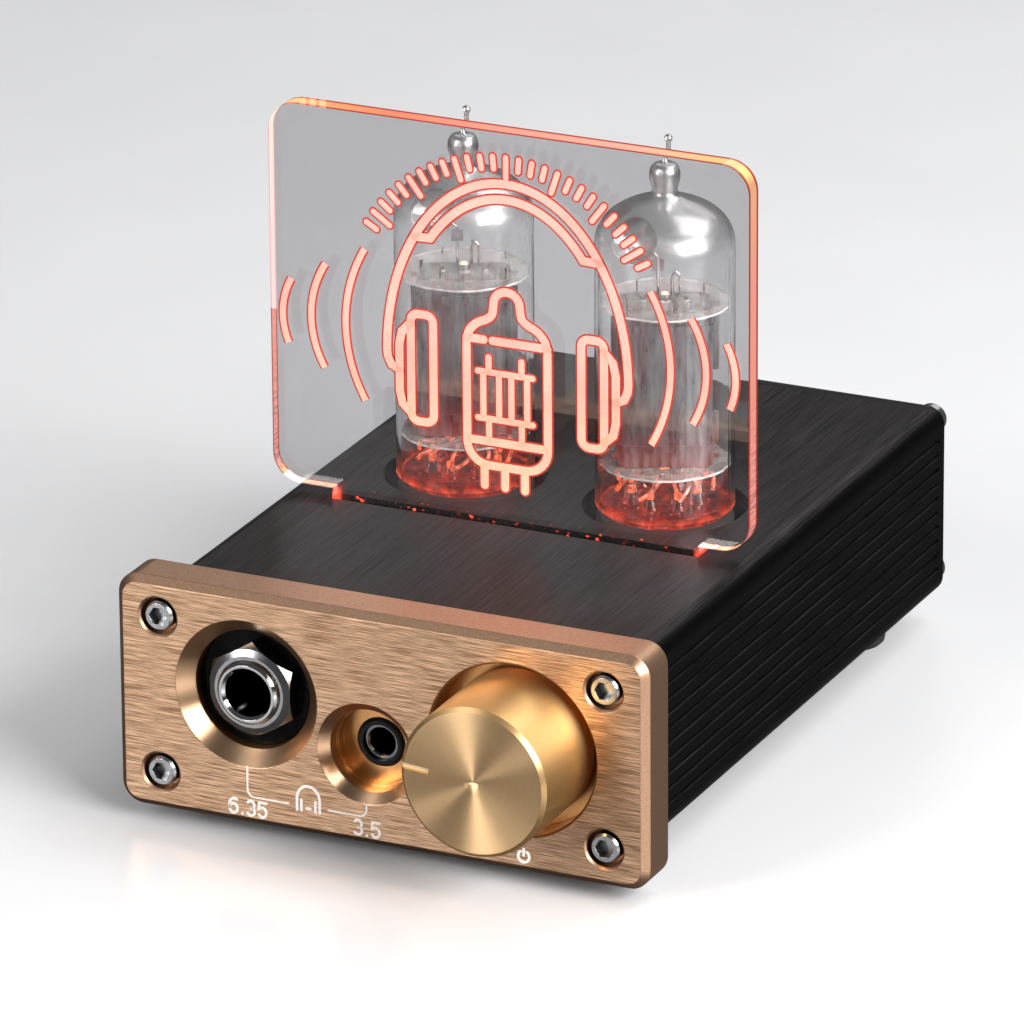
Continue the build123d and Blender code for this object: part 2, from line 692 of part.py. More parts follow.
def valve_frame(x, piece):
    """Puts a piece drawn about the Z axis on a valve, with the electrodes' long side turned."""
    return Pos(x, VALVE_Y, 0) * Rot(0, 0, ELECTRODE_TURN) * piece


def valve_micas(x):
    """Two mica discs with eight flats, pierced for the cathode and the grid rods."""
    disc = Circle(MICA_RADIUS)
    for index in range(8):
        disc -= Rot(0, 0, 45 * index + 22.5) * Pos(MICA_RADIUS + 0.35, 0) * Rectangle(1.0, 2.4)
    disc -= Circle(CATHODE_RADIUS + 0.05)
    for side in (-1, 1):
        disc -= Pos(side * GRID_HALF_SPAN, 0) * Circle(0.42)
    discs = [Pos(0, 0, z) * extrude(disc, amount=MICA_THICKNESS) for z in (LOWER_MICA, UPPER_MICA)]
    return group([valve_frame(x, piece) for piece in discs])


def valve_anode(x):
    """The sheet-metal anode: a flat-faced tube with pressed ribs, side flanges and windows in its ends."""
    low, high = LOWER_MICA + MICA_THICKNESS + 0.1, UPPER_MICA - 0.1

    def tube(outset, z_low, z_high):
        """A solid bar with the tube's cross-section, grown on all sides by outset."""
        length, width = ANODE_LENGTH + 2 * outset, ANODE_WIDTH + 2 * outset
        profile = RectangleRounded(length, width, ANODE_CORNER + outset)
        return Pos(0, 0, z_low) * extrude(profile, amount=z_high - z_low)

    shell = tube(0, low, high)
    for z in (low + ANODE_RIB_INSET, high - ANODE_RIB_INSET):
        shell += tube(ANODE_RIB, z - 0.5, z + 0.5)
    shell += block(centred(0, ANODE_LENGTH + 2 * ANODE_FLANGE), centred(0, 0.5), (low, high))
    shell -= tube(-ANODE_SHEET, low, high)
    long_window = centred((low + high) / 2 - 1.5, 6.0)
    for window_z in ((low + 0.6, low + 2.0), long_window, (high - 2.0, high - 0.6)):
        shell -= block(centred(0, ANODE_LENGTH + 4 * ANODE_FLANGE), centred(0, 3.0), window_z)
    return valve_frame(x, shell)


def valve_grid(x):
    """The grid: two side rods through both micas, and the turns of wire between them."""
    low, high = LOWER_MICA - 0.6, UPPER_MICA + MICA_THICKNESS + 0.6
    rods = [rod_z(side * GRID_HALF_SPAN, 0, 0.35, low, high) for side in (-1, 1)]
    first, pitch = LOWER_MICA + 2.5, (UPPER_MICA - LOWER_MICA - 4) / GRID_TURNS
    coils = [Pos(0, 0, first + index * pitch) * Torus(GRID_HALF_SPAN, 0.12) for index in range(GRID_TURNS)]
    return valve_frame(x, rods[0].fuse(rods[1], *coils))


def valve_cathode(x):
    """The cathode sleeve, open at both ends, through both micas."""
    low = LOWER_MICA - 0.8
    outside = rod_z(0, 0, CATHODE_RADIUS, low, CATHODE_TOP)
    return valve_frame(x, outside - rod_z(0, 0, CATHODE_RADIUS - 0.15, low, CATHODE_TOP))


def valve_heater(x):
    """The heater inside the cathode; its rounded end shows in the sleeve's mouth."""
    radius = CATHODE_RADIUS - 0.2
    heater = rod_z(0, 0, radius, LOWER_MICA - 2.0, HEATER_TOP)
    return valve_frame(x, heater + Pos(0, 0, HEATER_TOP) * Sphere(radius))


def valve_getter(x):
    """The getter: a shallow dish on a bent post with a small flag, and a hairpin of wire beside it."""
    mica_top = UPPER_MICA + MICA_THICKNESS
    dish_place = (-3.9, 1.2, 69.0)
    dish = Cone(3.2, 1.6, 1.1) - Pos(0, 0, -0.25) * Cone(3.2, 1.6, 1.1)
    dish = Pos(*dish_place) * Rot(-125, 15, 0) * dish
    post_x, post_y = -0.9, 1.7
    post = wire([(post_x, post_y, mica_top), (post_x, post_y, 66.8), (-3.9, 1.7, 68.9)], 0.22)
    flag = block(centred(post_x, 1.6), centred(post_y, 0.25), (mica_top + 3.4, mica_top + 4.9))
    left, right, hairpin_y = 1.0, 2.0, 1.7
    hairpin_line = [
        (left, mica_top),
        (left, mica_top + 2.8),
        ((left + right) / 2, mica_top + 3.2),
        (right, mica_top + 2.8),
        (right, mica_top),
    ]
    hairpin = wire([(point_x, hairpin_y, z) for point_x, z in hairpin_line], 0.2)
    return group([valve_frame(x, dish + post + flag), valve_frame(x, hairpin)])


# ---- volume control ----

def pot_body():
    """The potentiometer's housing, standing on the main board."""
    y_front = behind(POT_BODY_FRONT)
    z_range = (MAIN_BOARD_TOP, KNOB_Z + POT_BODY_WIDTH / 2)
    body = block(centred(KNOB_X, POT_BODY_WIDTH), (y_front, y_front + POT_BODY_DEPTH), z_range)
    body -= rod_y(KNOB_X, KNOB_Z, POT_BUSHING_RADIUS, y_front, 2.0)
    return body - rod_y(KNOB_X, KNOB_Z, SHAFT_RADIUS + 0.1, y_front, 5.0)


def pot_bushing():
    """The threaded brass bushing that holds the potentiometer in the panel and guides its shaft."""
    front, back = behind(POT_BUSHING_TIP), behind(POT_BODY_FRONT + 2.0)
    outline = threaded_outline(POT_BUSHING_RADIUS, SHAFT_RADIUS + 0.05, front, back, 0.75, 0.25)
    return turned_y(outline, KNOB_X, KNOB_Z)


def pot_shaft():
    """The shaft, with a flat where the set screw bears."""
    tip, end = behind(SHAFT_TIP), behind(POT_BODY_FRONT + 4.8)
    shaft = rod_y(KNOB_X, KNOB_Z, SHAFT_RADIUS, tip, end - tip)
    flat_cut = block(centred(0, 8), (tip, behind(-0.5)), (-SHAFT_RADIUS, SHAFT_FLAT - SHAFT_RADIUS))
    return shaft - Pos(KNOB_X, 0, KNOB_Z) * flat_cut


def pot_nut():
    """The flat nut on the floor of the knob's recess."""
    front = behind(KNOB_RECESS_DEPTH - POT_NUT_THICKNESS)
    hole_radius = POT_BUSHING_RADIUS + THREAD_GAP
    return hexagon_nut(KNOB_X, KNOB_Z, POT_NUT_ACROSS_FLATS, hole_radius, front, POT_NUT_THICKNESS)


def pot_terminals():
    """Soldered terminals that go down to the board behind the potentiometer."""
    y = behind(POT_BODY_FRONT + POT_BODY_DEPTH)
    tabs = []
    for index in range(POT_TERMINAL_COUNT):
        x = KNOB_X + POT_TERMINAL_PITCH * (index - (POT_TERMINAL_COUNT - 1) / 2)
        tabs.append(block(centred(x, 0.9), (y, y + 0.3), (MAIN_BOARD_TOP, KNOB_Z - 3.0)))
    return group(tabs)


def volume_knob():
    """A turned knob with a shallow spun face, an engraved pointer line and a hollow back."""
    front, back = behind(-KNOB_PROUD), behind(KNOB_SUNK)
    outline = [
        (0, front + KNOB_DISH),
        (KNOB_RADIUS - KNOB_RIM - 0.3, front),
        (KNOB_RADIUS - KNOB_RIM, front),
        (KNOB_RADIUS, front + KNOB_RIM),
        (KNOB_RADIUS, back - 0.3),
        (KNOB_RADIUS - 0.3, back),
        (0, back),
    ]
    knob = turned_y(outline, KNOB_X, KNOB_Z)
    knob -= rod_y(KNOB_X, KNOB_Z, KNOB_HOLLOW_RADIUS, back - KNOB_HOLLOW_DEPTH, KNOB_HOLLOW_DEPTH)
    bore_depth = KNOB_SUNK - KNOB_BORE_END
    knob -= rod_y(KNOB_X, KNOB_Z, SHAFT_RADIUS + 0.03, back - bore_depth, bore_depth)
    pointer = Pos(KNOB_RADIUS - POINTER_LENGTH / 2, 0) * Rectangle(POINTER_LENGTH, POINTER_WIDTH)
    knob -= slab(Pos(KNOB_X, KNOB_Z) * Rot(0, 0, POINTER_ANGLE) * pointer, front, POINTER_DEPTH)
    return knob - set_screw_hole()


def set_screw_hole():
    """The tapped hole that runs up from the knob's underside to the shaft."""
    return rod_z(KNOB_X, behind(SET_SCREW_DISTANCE), SET_SCREW_RADIUS, KNOB_Z - KNOB_RADIUS - 1, KNOB_Z - 2)


def knob_set_screw():
    """Hexagon-socket set screw between the knob's underside and the shaft's flat."""
    x, y = KNOB_X, behind(SET_SCREW_DISTANCE)
    high = KNOB_Z - SHAFT_RADIUS + SHAFT_FLAT
    low = high - SET_SCREW_LENGTH
    screw = rod_z(x, y, SET_SCREW_RADIUS - THREAD_GAP, low, high)
    return screw - Pos(x, y, low) * extrude(RegularPolygon(0.85, 6), amount=1.5)


# ---- 6.35 mm jack ----

def big_jack_body():
    """The black housing behind the panel, bored for the plug and slotted for the contacts."""
    front = behind(PANEL_THICKNESS + 0.1)
    y_range = (front, front + BIG_BODY_LENGTH)
    body = block(centred(BIG_JACK_X, BIG_BODY_WIDTH), y_range, (MAIN_BOARD_TOP, BIG_BODY_TOP))
    body -= rod_y(BIG_JACK_X, BIG_JACK_Z, BIG_BUSHING_RADIUS + 0.05, front, BIG_COLLAR)
    body -= rod_y(BIG_JACK_X, BIG_JACK_Z, BIG_CAVITY_RADIUS, front, BIG_BODY_LENGTH - 2.0)
    for distance in BIG_CONTACT_DISTANCES:
        slot_y = centred(behind(distance), 6.0)
        body -= block(centred(BIG_JACK_X, 2.4), slot_y, (BIG_JACK_Z, BIG_BODY_TOP - 1.0))
    return body


def big_jack_bushing():
    """The threaded chrome bushing, bored for the plug, with a rounded mouth."""
    tip, back = behind(BIG_BUSHING_TIP), behind(PANEL_THICKNESS + 0.1 + BIG_COLLAR)
    lip_depth = 0.5
    outer, bore = BIG_BUSHING_RADIUS, BIG_JACK_BORE
    threaded = threaded_outline(outer, bore, tip + lip_depth, back, 0.75, 0.2)
    lip = [
        (bore + 0.4, tip),
        (outer - 0.45, tip),
        (outer - 0.1, tip + 0.35),
        (outer - 0.2, tip + lip_depth),
        (bore, tip + lip_depth),
        (bore, tip + 0.4),
    ]
    return turned_y(threaded, BIG_JACK_X, BIG_JACK_Z) + turned_y(lip, BIG_JACK_X, BIG_JACK_Z)


def big_jack_washer():
    """The flat black washer on the recess's floor."""
    radius = BIG_RECESS_RADIUS - BIG_RECESS_CHAMFER - 0.1
    front = behind(BIG_RECESS_DEPTH - BIG_WASHER_THICKNESS)
    washer = rod_y(BIG_JACK_X, BIG_JACK_Z, radius, front, BIG_WASHER_THICKNESS)
    return washer - rod_y(BIG_JACK_X, BIG_JACK_Z, BIG_BUSHING_RADIUS + 0.1, front, BIG_WASHER_THICKNESS)


def big_jack_nut():
    """The chrome nut that clamps the washer and the panel."""
    front = behind(BIG_RECESS_DEPTH - BIG_WASHER_THICKNESS - BIG_NUT_THICKNESS)
    hole_radius = BIG_BUSHING_RADIUS + THREAD_GAP
    return hexagon_nut(BIG_JACK_X, BIG_JACK_Z, BIG_NUT_ACROSS_FLATS, hole_radius, front, BIG_NUT_THICKNESS)


def big_jack_contacts():
    """Three leaf springs hanging from the top of the body, each bowed towards the plug."""
    top = BIG_BODY_TOP - 1.2
    bow = BIG_JACK_Z + BIG_JACK_BORE + 0.2
    contacts = []
    for distance in BIG_CONTACT_DISTANCES:
        y = behind(distance)
        line = [(y - 2.6, top), (y - 1.4, bow + 0.8), (y, bow), (y + 1.4, bow + 0.8), (y + 2.6, top)]
        contacts.append(leaf_spring(BIG_JACK_X, line, 0.3, 1.8))
    return group(contacts)


# ---- 3.5 mm jack ----

def small_jack_body():
    """The black housing with its round nozzle, bored for the plug."""
    tip, front = behind(SMALL_NOZZLE_TIP), behind(SMALL_BODY_FRONT)
    y_range = (front, front + SMALL_BODY_LENGTH)
    body = block(centred(SMALL_JACK_X, SMALL_BODY_WIDTH), y_range, (MAIN_BOARD_TOP, SMALL_BODY_TOP))
    nozzle = [
        (0, tip),
        (SMALL_NOZZLE_RADIUS - 0.3, tip),
        (SMALL_NOZZLE_RADIUS, tip + 0.3),
        (SMALL_NOZZLE_RADIUS, front + 0.5),
        (0, front + 0.5),
    ]
    body += turned_y(nozzle, SMALL_JACK_X, SMALL_JACK_Z)
    sleeve_end = behind(SMALL_SLEEVE_TIP + SMALL_SLEEVE_LENGTH + 0.1)
    body -= rod_y(SMALL_JACK_X, SMALL_JACK_Z, SMALL_SLEEVE_RADIUS + THREAD_GAP, tip, sleeve_end - tip)
    body -= rod_y(SMALL_JACK_X, SMALL_JACK_Z, SMALL_CAVITY_RADIUS, tip, y_range[1] - 1.0 - tip)
    slot_z = (SMALL_JACK_Z, SMALL_BODY_TOP - 0.4)
    return body - block(centred(SMALL_JACK_X, 2.0), (front + 3.0, front + 9.0), slot_z)


def small_jack_sleeve():
    """The metal sleeve in the nozzle, which is the jack's ground contact."""
    tip = behind(SMALL_SLEEVE_TIP)
    end = tip + SMALL_SLEEVE_LENGTH
    outline = [
        (SMALL_JACK_BORE + 0.25, tip),
        (SMALL_SLEEVE_RADIUS, tip),
        (SMALL_SLEEVE_RADIUS, end),
        (SMALL_JACK_BORE, end),
        (SMALL_JACK_BORE, tip + 0.25),
    ]
    return turned_y(outline, SMALL_JACK_X, SMALL_JACK_Z)


def small_jack_contact():
    """The leaf spring over the plug's tip."""
    y = behind(SMALL_BODY_FRONT + 6.0)
    top = SMALL_BODY_TOP - 0.6
    bow = SMALL_JACK_Z + SMALL_JACK_BORE + 0.15
    return leaf_spring(SMALL_JACK_X, [(y - 2.6, top), (y, bow), (y + 2.6, top)], 0.25, 1.4)


# ---- rear connectors ----

def phono_housing():
    """The plastic block behind the rear panel that carries both phono sockets."""
    x_range = (PHONO_X[0] - 6.0, PHONO_X[1] + 6.0)
    y_range = (REAR_INSIDE - PHONO_BLOCK_DEPTH, REAR_INSIDE - 0.1)
    housing = block(x_range, y_range, (MAIN_BOARD_TOP, PHONO_Z + 6.5))
    for x in PHONO_X:
        shell_floor = y_range[1] - PHONO_SHELL_SUNK
        housing -= rod_y(x, PHONO_Z, PHONO_SHELL_RADIUS + 0.05, shell_floor, PHONO_SHELL_SUNK)
        housing -= rod_y(x, PHONO_Z, 1.3, y_range[0], PHONO_BLOCK_DEPTH)
    return housing


def phono_shells():
    """The round outer contacts: narrower where they sit in the housing, with a chamfered mouth."""
    start, end = REAR_INSIDE - PHONO_SHELL_SUNK, REAR_FACE + PHONO_REACH
    outer = PHONO_SHELL_RADIUS
    inner, sunk = outer - PHONO_SHELL_WALL, outer - PHONO_SHOULDER
    shoulder = REAR_FACE + 0.2
    outline = [
        (inner, start),
        (sunk, start),
        (sunk, shoulder),
        (outer, shoulder),
        (outer, end - 0.3),
        (outer - 0.3, end),
        (inner, end),
    ]
    return group([turned_y(outline, x, PHONO_Z) for x in PHONO_X])


def phono_insulators():
    """The coloured plastic fillings of the shells, bored for the plug's pin."""
    start, end = REAR_INSIDE - 2.9, REAR_FACE + PHONO_REACH - 0.8
    radius = PHONO_SHELL_RADIUS - PHONO_SHELL_WALL - THREAD_GAP
    rings = []
    for x in PHONO_X:
        ring = rod_y(x, PHONO_Z, radius, start, end - start)
        rings.append(ring - rod_y(x, PHONO_Z, PHONO_CENTRE_RADIUS + THREAD_GAP, start, end - start))
    return group(rings)


def phono_centres():
    """The centre contacts: sleeves for the plug's pin, with a tail through the housing."""
    start, end = REAR_INSIDE - 2.9, REAR_FACE + PHONO_REACH - 1.0
    tail_start = REAR_INSIDE - PHONO_BLOCK_DEPTH - 1.5
    centres = []
    for x in PHONO_X:
        sleeve = rod_y(x, PHONO_Z, PHONO_CENTRE_RADIUS, start, end - start)
        sleeve -= rod_y(x, PHONO_Z, PHONO_BORE, start + 1, end - start)
        centres.append(sleeve + rod_y(x, PHONO_Z, 0.6, tail_start, PHONO_BLOCK_DEPTH))
    return group(centres)


def power_inlet():
    """The black power socket: a square body with a round collar through the rear panel."""
    front = REAR_INSIDE - POWER_BODY_DEPTH
    body = block(centred(POWER_X, 9.0), (front, REAR_INSIDE - 0.1), (MAIN_BOARD_TOP, POWER_Z + 5.5))
    body += rod_y(POWER_X, POWER_Z, POWER_BORE + 1.1, REAR_INSIDE - 0.5, REAR_PANEL_THICKNESS + 0.5)
    return body - rod_y(POWER_X, POWER_Z, POWER_BORE, front + 3.0, POWER_BODY_DEPTH + REAR_PANEL_THICKNESS)


def power_pin():
    """The round-ended centre pin, standing on the floor of the socket's well."""
    floor, tip = REAR_INSIDE - POWER_BODY_DEPTH + 3.0, REAR_FACE - 1.0
    pin = rod_y(POWER_X, POWER_Z, POWER_PIN_RADIUS, floor, tip - POWER_PIN_RADIUS - floor)
    return pin + Pos(POWER_X, tip - POWER_PIN_RADIUS, POWER_Z) * Sphere(POWER_PIN_RADIUS)


# ---- parts of the circuit ----


def electrolytic_capacitors():
    """Upright round capacitors between the valve board and the rear panel."""
    top = MAIN_BOARD_TOP + CAPACITOR_HEIGHT
    cans = []
    for x in CAPACITOR_PLACES:
        can = rod_z(x, behind(CAPACITOR_DISTANCE), CAPACITOR_RADIUS, MAIN_BOARD_TOP, top)
        cans.append(fillet(can.edges(), 0.5))
    return group(cans)


def film_capacitors():
    """Coupling capacitors in front of the valve board, beside the potentiometer."""
    width, depth, height = FILM_CAPACITOR_SIZE
    y_range = centred(behind(FILM_CAPACITOR_DISTANCE), depth)
    z_range = (MAIN_BOARD_TOP, MAIN_BOARD_TOP + height)
    blocks = [block(centred(x, width), y_range, z_range) for x in FILM_CAPACITOR_PLACES]
    return group([fillet(piece.edges().filter_by(Axis.Z), 0.8) for piece in blocks])


def amplifier_chips():
    """Two eight-legged output chips on the main board, under the valve board."""
    width, depth, height = CHIP_SIZE
    middle, underside = behind(CHIP_DISTANCE), MAIN_BOARD_TOP + 0.5
    chips = []
    for x in (-VALVE_X, VALVE_X):
        chip = block(centred(x, width), centred(middle, depth), (underside, underside + height))
        for row in (-1, 1):
            for index in range(CHIP_LEGS):
                leg_x = x + CHIP_LEG_PITCH * (index - (CHIP_LEGS - 1) / 2)
                leg_y = centred(middle + row * CHIP_LEG_REACH, 0.6)
                chip += block(centred(leg_x, 1.0), leg_y, (MAIN_BOARD_TOP, MAIN_BOARD_TOP + 2.4))
        chips.append(chip)
    return group(chips)


# ---- all nodes ----

VALVE_PARTS = {
    "socket": valve_socket,
    "socket_contacts": socket_contacts,
    "valve_bulb": valve_bulb,
    "valve_button": valve_button,
    "valve_pins": valve_pins,
    "valve_micas": valve_micas,
    "valve_anode": valve_anode,
    "valve_grid": valve_grid,
    "valve_cathode": valve_cathode,
    "valve_heater": valve_heater,
    "valve_getter": valve_getter,
}

SINGLE_PARTS = [
    case_sleeve,
    front_panel,
    rear_panel,
    front_screws,
    rear_screws,
    rubber_feet,
    main_board,
    valve_board,
    board_spacers,
    header_housing,
    header_pins,
    valve_lamps,
    slot_lamps,
    light_plate,
    pot_body,
    pot_bushing,
    pot_shaft,
    pot_nut,
    pot_terminals,
    volume_knob,
    knob_set_screw,
    big_jack_body,
    big_jack_bushing,
    big_jack_washer,
    big_jack_nut,
    big_jack_contacts,
    small_jack_body,
    small_jack_sleeve,
    small_jack_contact,
    phono_housing,
    phono_shells,
    phono_insulators,
    phono_centres,
    power_inlet,
    power_pin,
    electrolytic_capacitors,
    film_capacitors,
    amplifier_chips,
]

os.makedirs("parts", exist_ok=True)
for make_part in SINGLE_PARTS:
    export_step(make_part(), f"parts/{make_part.__name__}.step")
for part_name, make_valve_part in VALVE_PARTS.items():
    for side_name, side_x in (("left", -VALVE_X), ("right", VALVE_X)):
        export_step(make_valve_part(side_x), f"parts/{side_name}_{part_name}.step")
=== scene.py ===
"""Valve headphone amplifier: finishes, printed and engraved marks, valve fittings and the studio.

The frame is in metres, with +Z up and the front panel facing -Y. Sizes here are in millimetres, in the same
frame, and MM turns them into metres where a mesh, a light or the camera is made.
"""

import math
import random

import bmesh
import bpy
from mathutils import Matrix, Vector


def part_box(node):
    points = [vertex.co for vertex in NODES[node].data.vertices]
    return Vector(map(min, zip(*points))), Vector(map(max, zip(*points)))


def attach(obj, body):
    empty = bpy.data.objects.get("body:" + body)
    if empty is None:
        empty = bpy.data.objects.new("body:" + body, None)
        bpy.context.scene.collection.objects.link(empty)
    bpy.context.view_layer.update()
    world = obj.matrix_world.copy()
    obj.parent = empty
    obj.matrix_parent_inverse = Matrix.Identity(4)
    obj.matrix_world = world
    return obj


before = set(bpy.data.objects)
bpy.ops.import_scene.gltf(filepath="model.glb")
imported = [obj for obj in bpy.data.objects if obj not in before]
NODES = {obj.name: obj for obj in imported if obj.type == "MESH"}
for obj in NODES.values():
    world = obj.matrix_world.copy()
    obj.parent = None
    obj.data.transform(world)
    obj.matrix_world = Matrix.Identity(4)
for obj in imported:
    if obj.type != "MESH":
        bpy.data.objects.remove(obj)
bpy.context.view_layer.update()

MM = 0.001
SIDES = ("left", "right")


def span(node):
    """Lowest and highest corner of a CAD node, in millimetres."""
    low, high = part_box(node)
    return low / MM, high / MM


def middle_of(node):
    """The middle of a CAD node's box, in millimetres."""
    low, high = span(node)
    return (low + high) / 2


# ---- places, from the frame ----

PANEL_LOW = span("front_panel")[0]
PANEL_FACE = PANEL_LOW.y
CASE_TOP = span("case_sleeve")[1].z
KNOB_LOW, KNOB_HIGH = span("volume_knob")
KNOB_MIDDLE = middle_of("volume_knob")
KNOB_RADIUS = (KNOB_HIGH.x - KNOB_LOW.x) / 2
SMALL_MIDDLE = middle_of("small_jack_sleeve")
BIG_MIDDLE = middle_of("big_jack_bushing")
PLATE_LOW, PLATE_HIGH = span("light_plate")
PLATE_GAP = 1.4
PLATE_BOTTOM = CASE_TOP + PLATE_GAP
# The plate's tongue: where its middle is along X, and half its width.
TONGUE_MIDDLE, TONGUE_HALF = -0.2, 26.8
BULB_LOW, BULB_HIGH = span("left_valve_bulb")
DOME_HEIGHT = 15.0
SHOULDER = BULB_HIGH.z - DOME_HEIGHT
BUTTON_TOP = span("left_valve_button")[1].z
MICA_LOW, MICA_HIGH = span("left_valve_micas")
VALVE_X = {side: middle_of(f"{side}_valve_bulb").x for side in SIDES}
VALVE_Y = middle_of("left_valve_bulb").y


# ---- node graphs ----


class Graph:
    """One material's nodes. Values given to its methods are numbers, colours or sockets."""

    def __init__(self, name):
        self.material = bpy.data.materials.new(name)
        self.material.use_nodes = True
        self.nodes = self.material.node_tree.nodes
        self.links = self.material.node_tree.links
        self.nodes.clear()
        coordinates = self.node("ShaderNodeTexCoord")
        self.normal = coordinates.outputs["Normal"]
        self.mm = self.vector("SCALE", coordinates.outputs["Object"], scale=1 / MM)
        self.x, self.y, self.z = self.parts(self.mm)

    def node(self, kind, settings=None, inputs=None):
        """A node of this kind, with its settings and the values or sockets for its inputs."""
        made = self.nodes.new(kind)
        for key, value in (settings or {}).items():
            setattr(made, key, value)
        for key, value in (inputs or {}).items():
            self.feed(made.inputs[key], value)
        return made

    def feed(self, socket, value):
        """Links a socket to an input, or sets the input's value."""
        if isinstance(value, bpy.types.NodeSocket):
            self.links.new(value, socket)
        elif socket.type == "RGBA" and len(value) == 3:
            socket.default_value = (*value, 1.0)
        else:
            socket.default_value = value

    def math(self, operation, first, second=0.0, clamp=False):
        settings = {"operation": operation, "use_clamp": clamp}
        return self.node("ShaderNodeMath", settings, {0: first, 1: second}).outputs[0]

    def vector(self, operation, first, second=(0, 0, 0), scale=1.0):
        inputs = {0: first, "Scale": scale} if operation == "SCALE" else {0: first, 1: second}
        made = self.node("ShaderNodeVectorMath", {"operation": operation}, inputs)
        scalar = operation in ("LENGTH", "DOT_PRODUCT", "DISTANCE")
        return made.outputs["Value" if scalar else "Vector"]

    def parts(self, vector):
        return self.node("ShaderNodeSeparateXYZ", None, {0: vector}).outputs[:3]

    def joined(self, x, y, z):
        return self.node("ShaderNodeCombineXYZ", None, {0: x, 1: y, 2: z}).outputs[0]

    def noise(self, vector, scale=1.0, detail=2.0, roughness=0.5):
        inputs = {"Vector": vector, "Scale": scale, "Detail": detail, "Roughness": roughness}
        return self.node("ShaderNodeTexNoise", None, inputs).outputs[0]

    def cells(self, vector, scale):
        """Distance to the nearest of many scattered points."""
        inputs = {"Vector": vector, "Scale": scale}
        return self.node("ShaderNodeTexVoronoi", None, inputs).outputs["Distance"]

    def remap(self, value, low, high, new_low=0.0, new_high=1.0):
        """Smoothly takes low..high to new_low..new_high and clamps what is outside."""
        settings = {"interpolation_type": "SMOOTHSTEP"}
        inputs = {"Value": value, "From Min": low, "From Max": high, "To Min": new_low, "To Max": new_high}
        return self.node("ShaderNodeMapRange", settings, inputs).outputs[0]

    def blend(self, factor, first, second):
        """Colour between first and second."""
        factor_input, first_input, second_input, colour_output = 0, 6, 7, 2
        inputs = {factor_input: factor, first_input: first, second_input: second}
        return self.node("ShaderNodeMix", {"data_type": "RGBA"}, inputs).outputs[colour_output]

    def ramp(self, value, *colours):
        """Colour at a value from 0 to 1, between evenly spaced colours."""
        made = self.node("ShaderNodeValToRGB", None, {0: value})
        elements = made.color_ramp.elements
        for index, colour in enumerate(colours):
            place = index / (len(colours) - 1)
            element = elements[index] if index < 2 else elements.new(place)
            element.position = place
            element.color = (*colour, 1.0)
        return made.outputs[0]

    def inverse(self, value):
        return self.math("SUBTRACT", 1.0, value)

    def open_to_light(self, reach):
        """1 on open surfaces, falling to 0 in holes and corners narrower than reach millimetres."""
        return self.node("ShaderNodeAmbientOcclusion", {"samples": 4}, {"Distance": reach * MM}).outputs["AO"]

    def bump(self, height, depth, normal=None):
        """Bumps as deep as depth, in millimetres."""
        inputs = {"Height": height, "Distance": depth * MM, "Strength": 1.0}
        if normal is not None:
            inputs["Normal"] = normal
        return self.node("ShaderNodeBump", None, inputs).outputs[0]

    def soft_edges(self, radius):
        return self.node("ShaderNodeBevel", {"samples": 4}, {"Radius": radius * MM}).outputs[0]

    def world_direction(self, direction):
        settings = {"vector_type": "VECTOR", "convert_from": "OBJECT", "convert_to": "WORLD"}
        return self.node("ShaderNodeVectorTransform", settings, {"Vector": direction}).outputs[0]

    def tangent(self, groove):
        """Highlight direction on metal whose grooves run along groove."""
        across = self.vector("NORMALIZE", self.vector("CROSS_PRODUCT", groove, self.normal))
        return self.world_direction(across)

    def around_y(self, centre):
        """Direction round an axis along Y through centre, and distance from that axis in millimetres."""
        x = self.math("SUBTRACT", self.x, centre.x)
        z = self.math("SUBTRACT", self.z, centre.z)
        radius = self.vector("LENGTH", self.joined(x, 0.0, z))
        return self.vector("NORMALIZE", self.joined(self.math("MULTIPLY", z, -1.0), 0.0, x)), radius

    def principled(self, **inputs):
        """Principled shader; keywords are its input names with underscores for spaces."""
        named = {key.replace("_", " "): value for key, value in inputs.items()}
        return self.node("ShaderNodeBsdfPrincipled", None, named).outputs[0]

    def mixed(self, factor, first, second):
        return self.node("ShaderNodeMixShader", None, {0: factor, 1: first, 2: second}).outputs[0]

    def added(self, first, second):
        return self.node("ShaderNodeAddShader", None, {0: first, 1: second}).outputs[0]

    def glow(self, colour, strength):
        return self.node("ShaderNodeEmission", None, {"Color": colour, "Strength": strength}).outputs[0]

    def clear_to_light(self, shader, tint=(1, 1, 1)):
        """Lets lamps shine through a clear material without bending their light."""
        clear = self.node("ShaderNodeBsdfTransparent", None, {"Color": tint}).outputs[0]
        shadow = self.node("ShaderNodeLightPath").outputs["Is Shadow Ray"]
        return self.mixed(shadow, shader, clear)

    def done(self, shader):
        self.node("ShaderNodeOutputMaterial", None, {"Surface": shader})
        return self.material


def paint(material, *nodes):
    """Gives CAD nodes a material."""
    for node in nodes:
        NODES[node].data.materials.clear()
        NODES[node].data.materials.append(material)


def both(part):
    """The node names of a valve part on either side."""
    return [f"{side}_{part}" for side in SIDES]


# ---- finishes ----


BAND_COARSENESS = 0.3
BAND_SHARE = 0.07


def streaks(graph, along, thickness, length):
    """Brushed lines of this thickness and length in millimetres, along X, Y or Z (0, 1 or 2)."""
    stretch = Vector((1 / thickness,) * 3)
    stretch[along] = 1 / length
    lines = graph.noise(graph.vector("MULTIPLY", graph.mm, stretch), 1.0, 2.0, 0.6)
    bands = graph.noise(graph.vector("MULTIPLY", graph.mm, stretch * BAND_COARSENESS), 1.0, 2.0, 0.5)
    fine = graph.math("MULTIPLY", lines, 1 - BAND_SHARE)
    return graph.math("ADD", fine, graph.math("MULTIPLY", bands, BAND_SHARE))


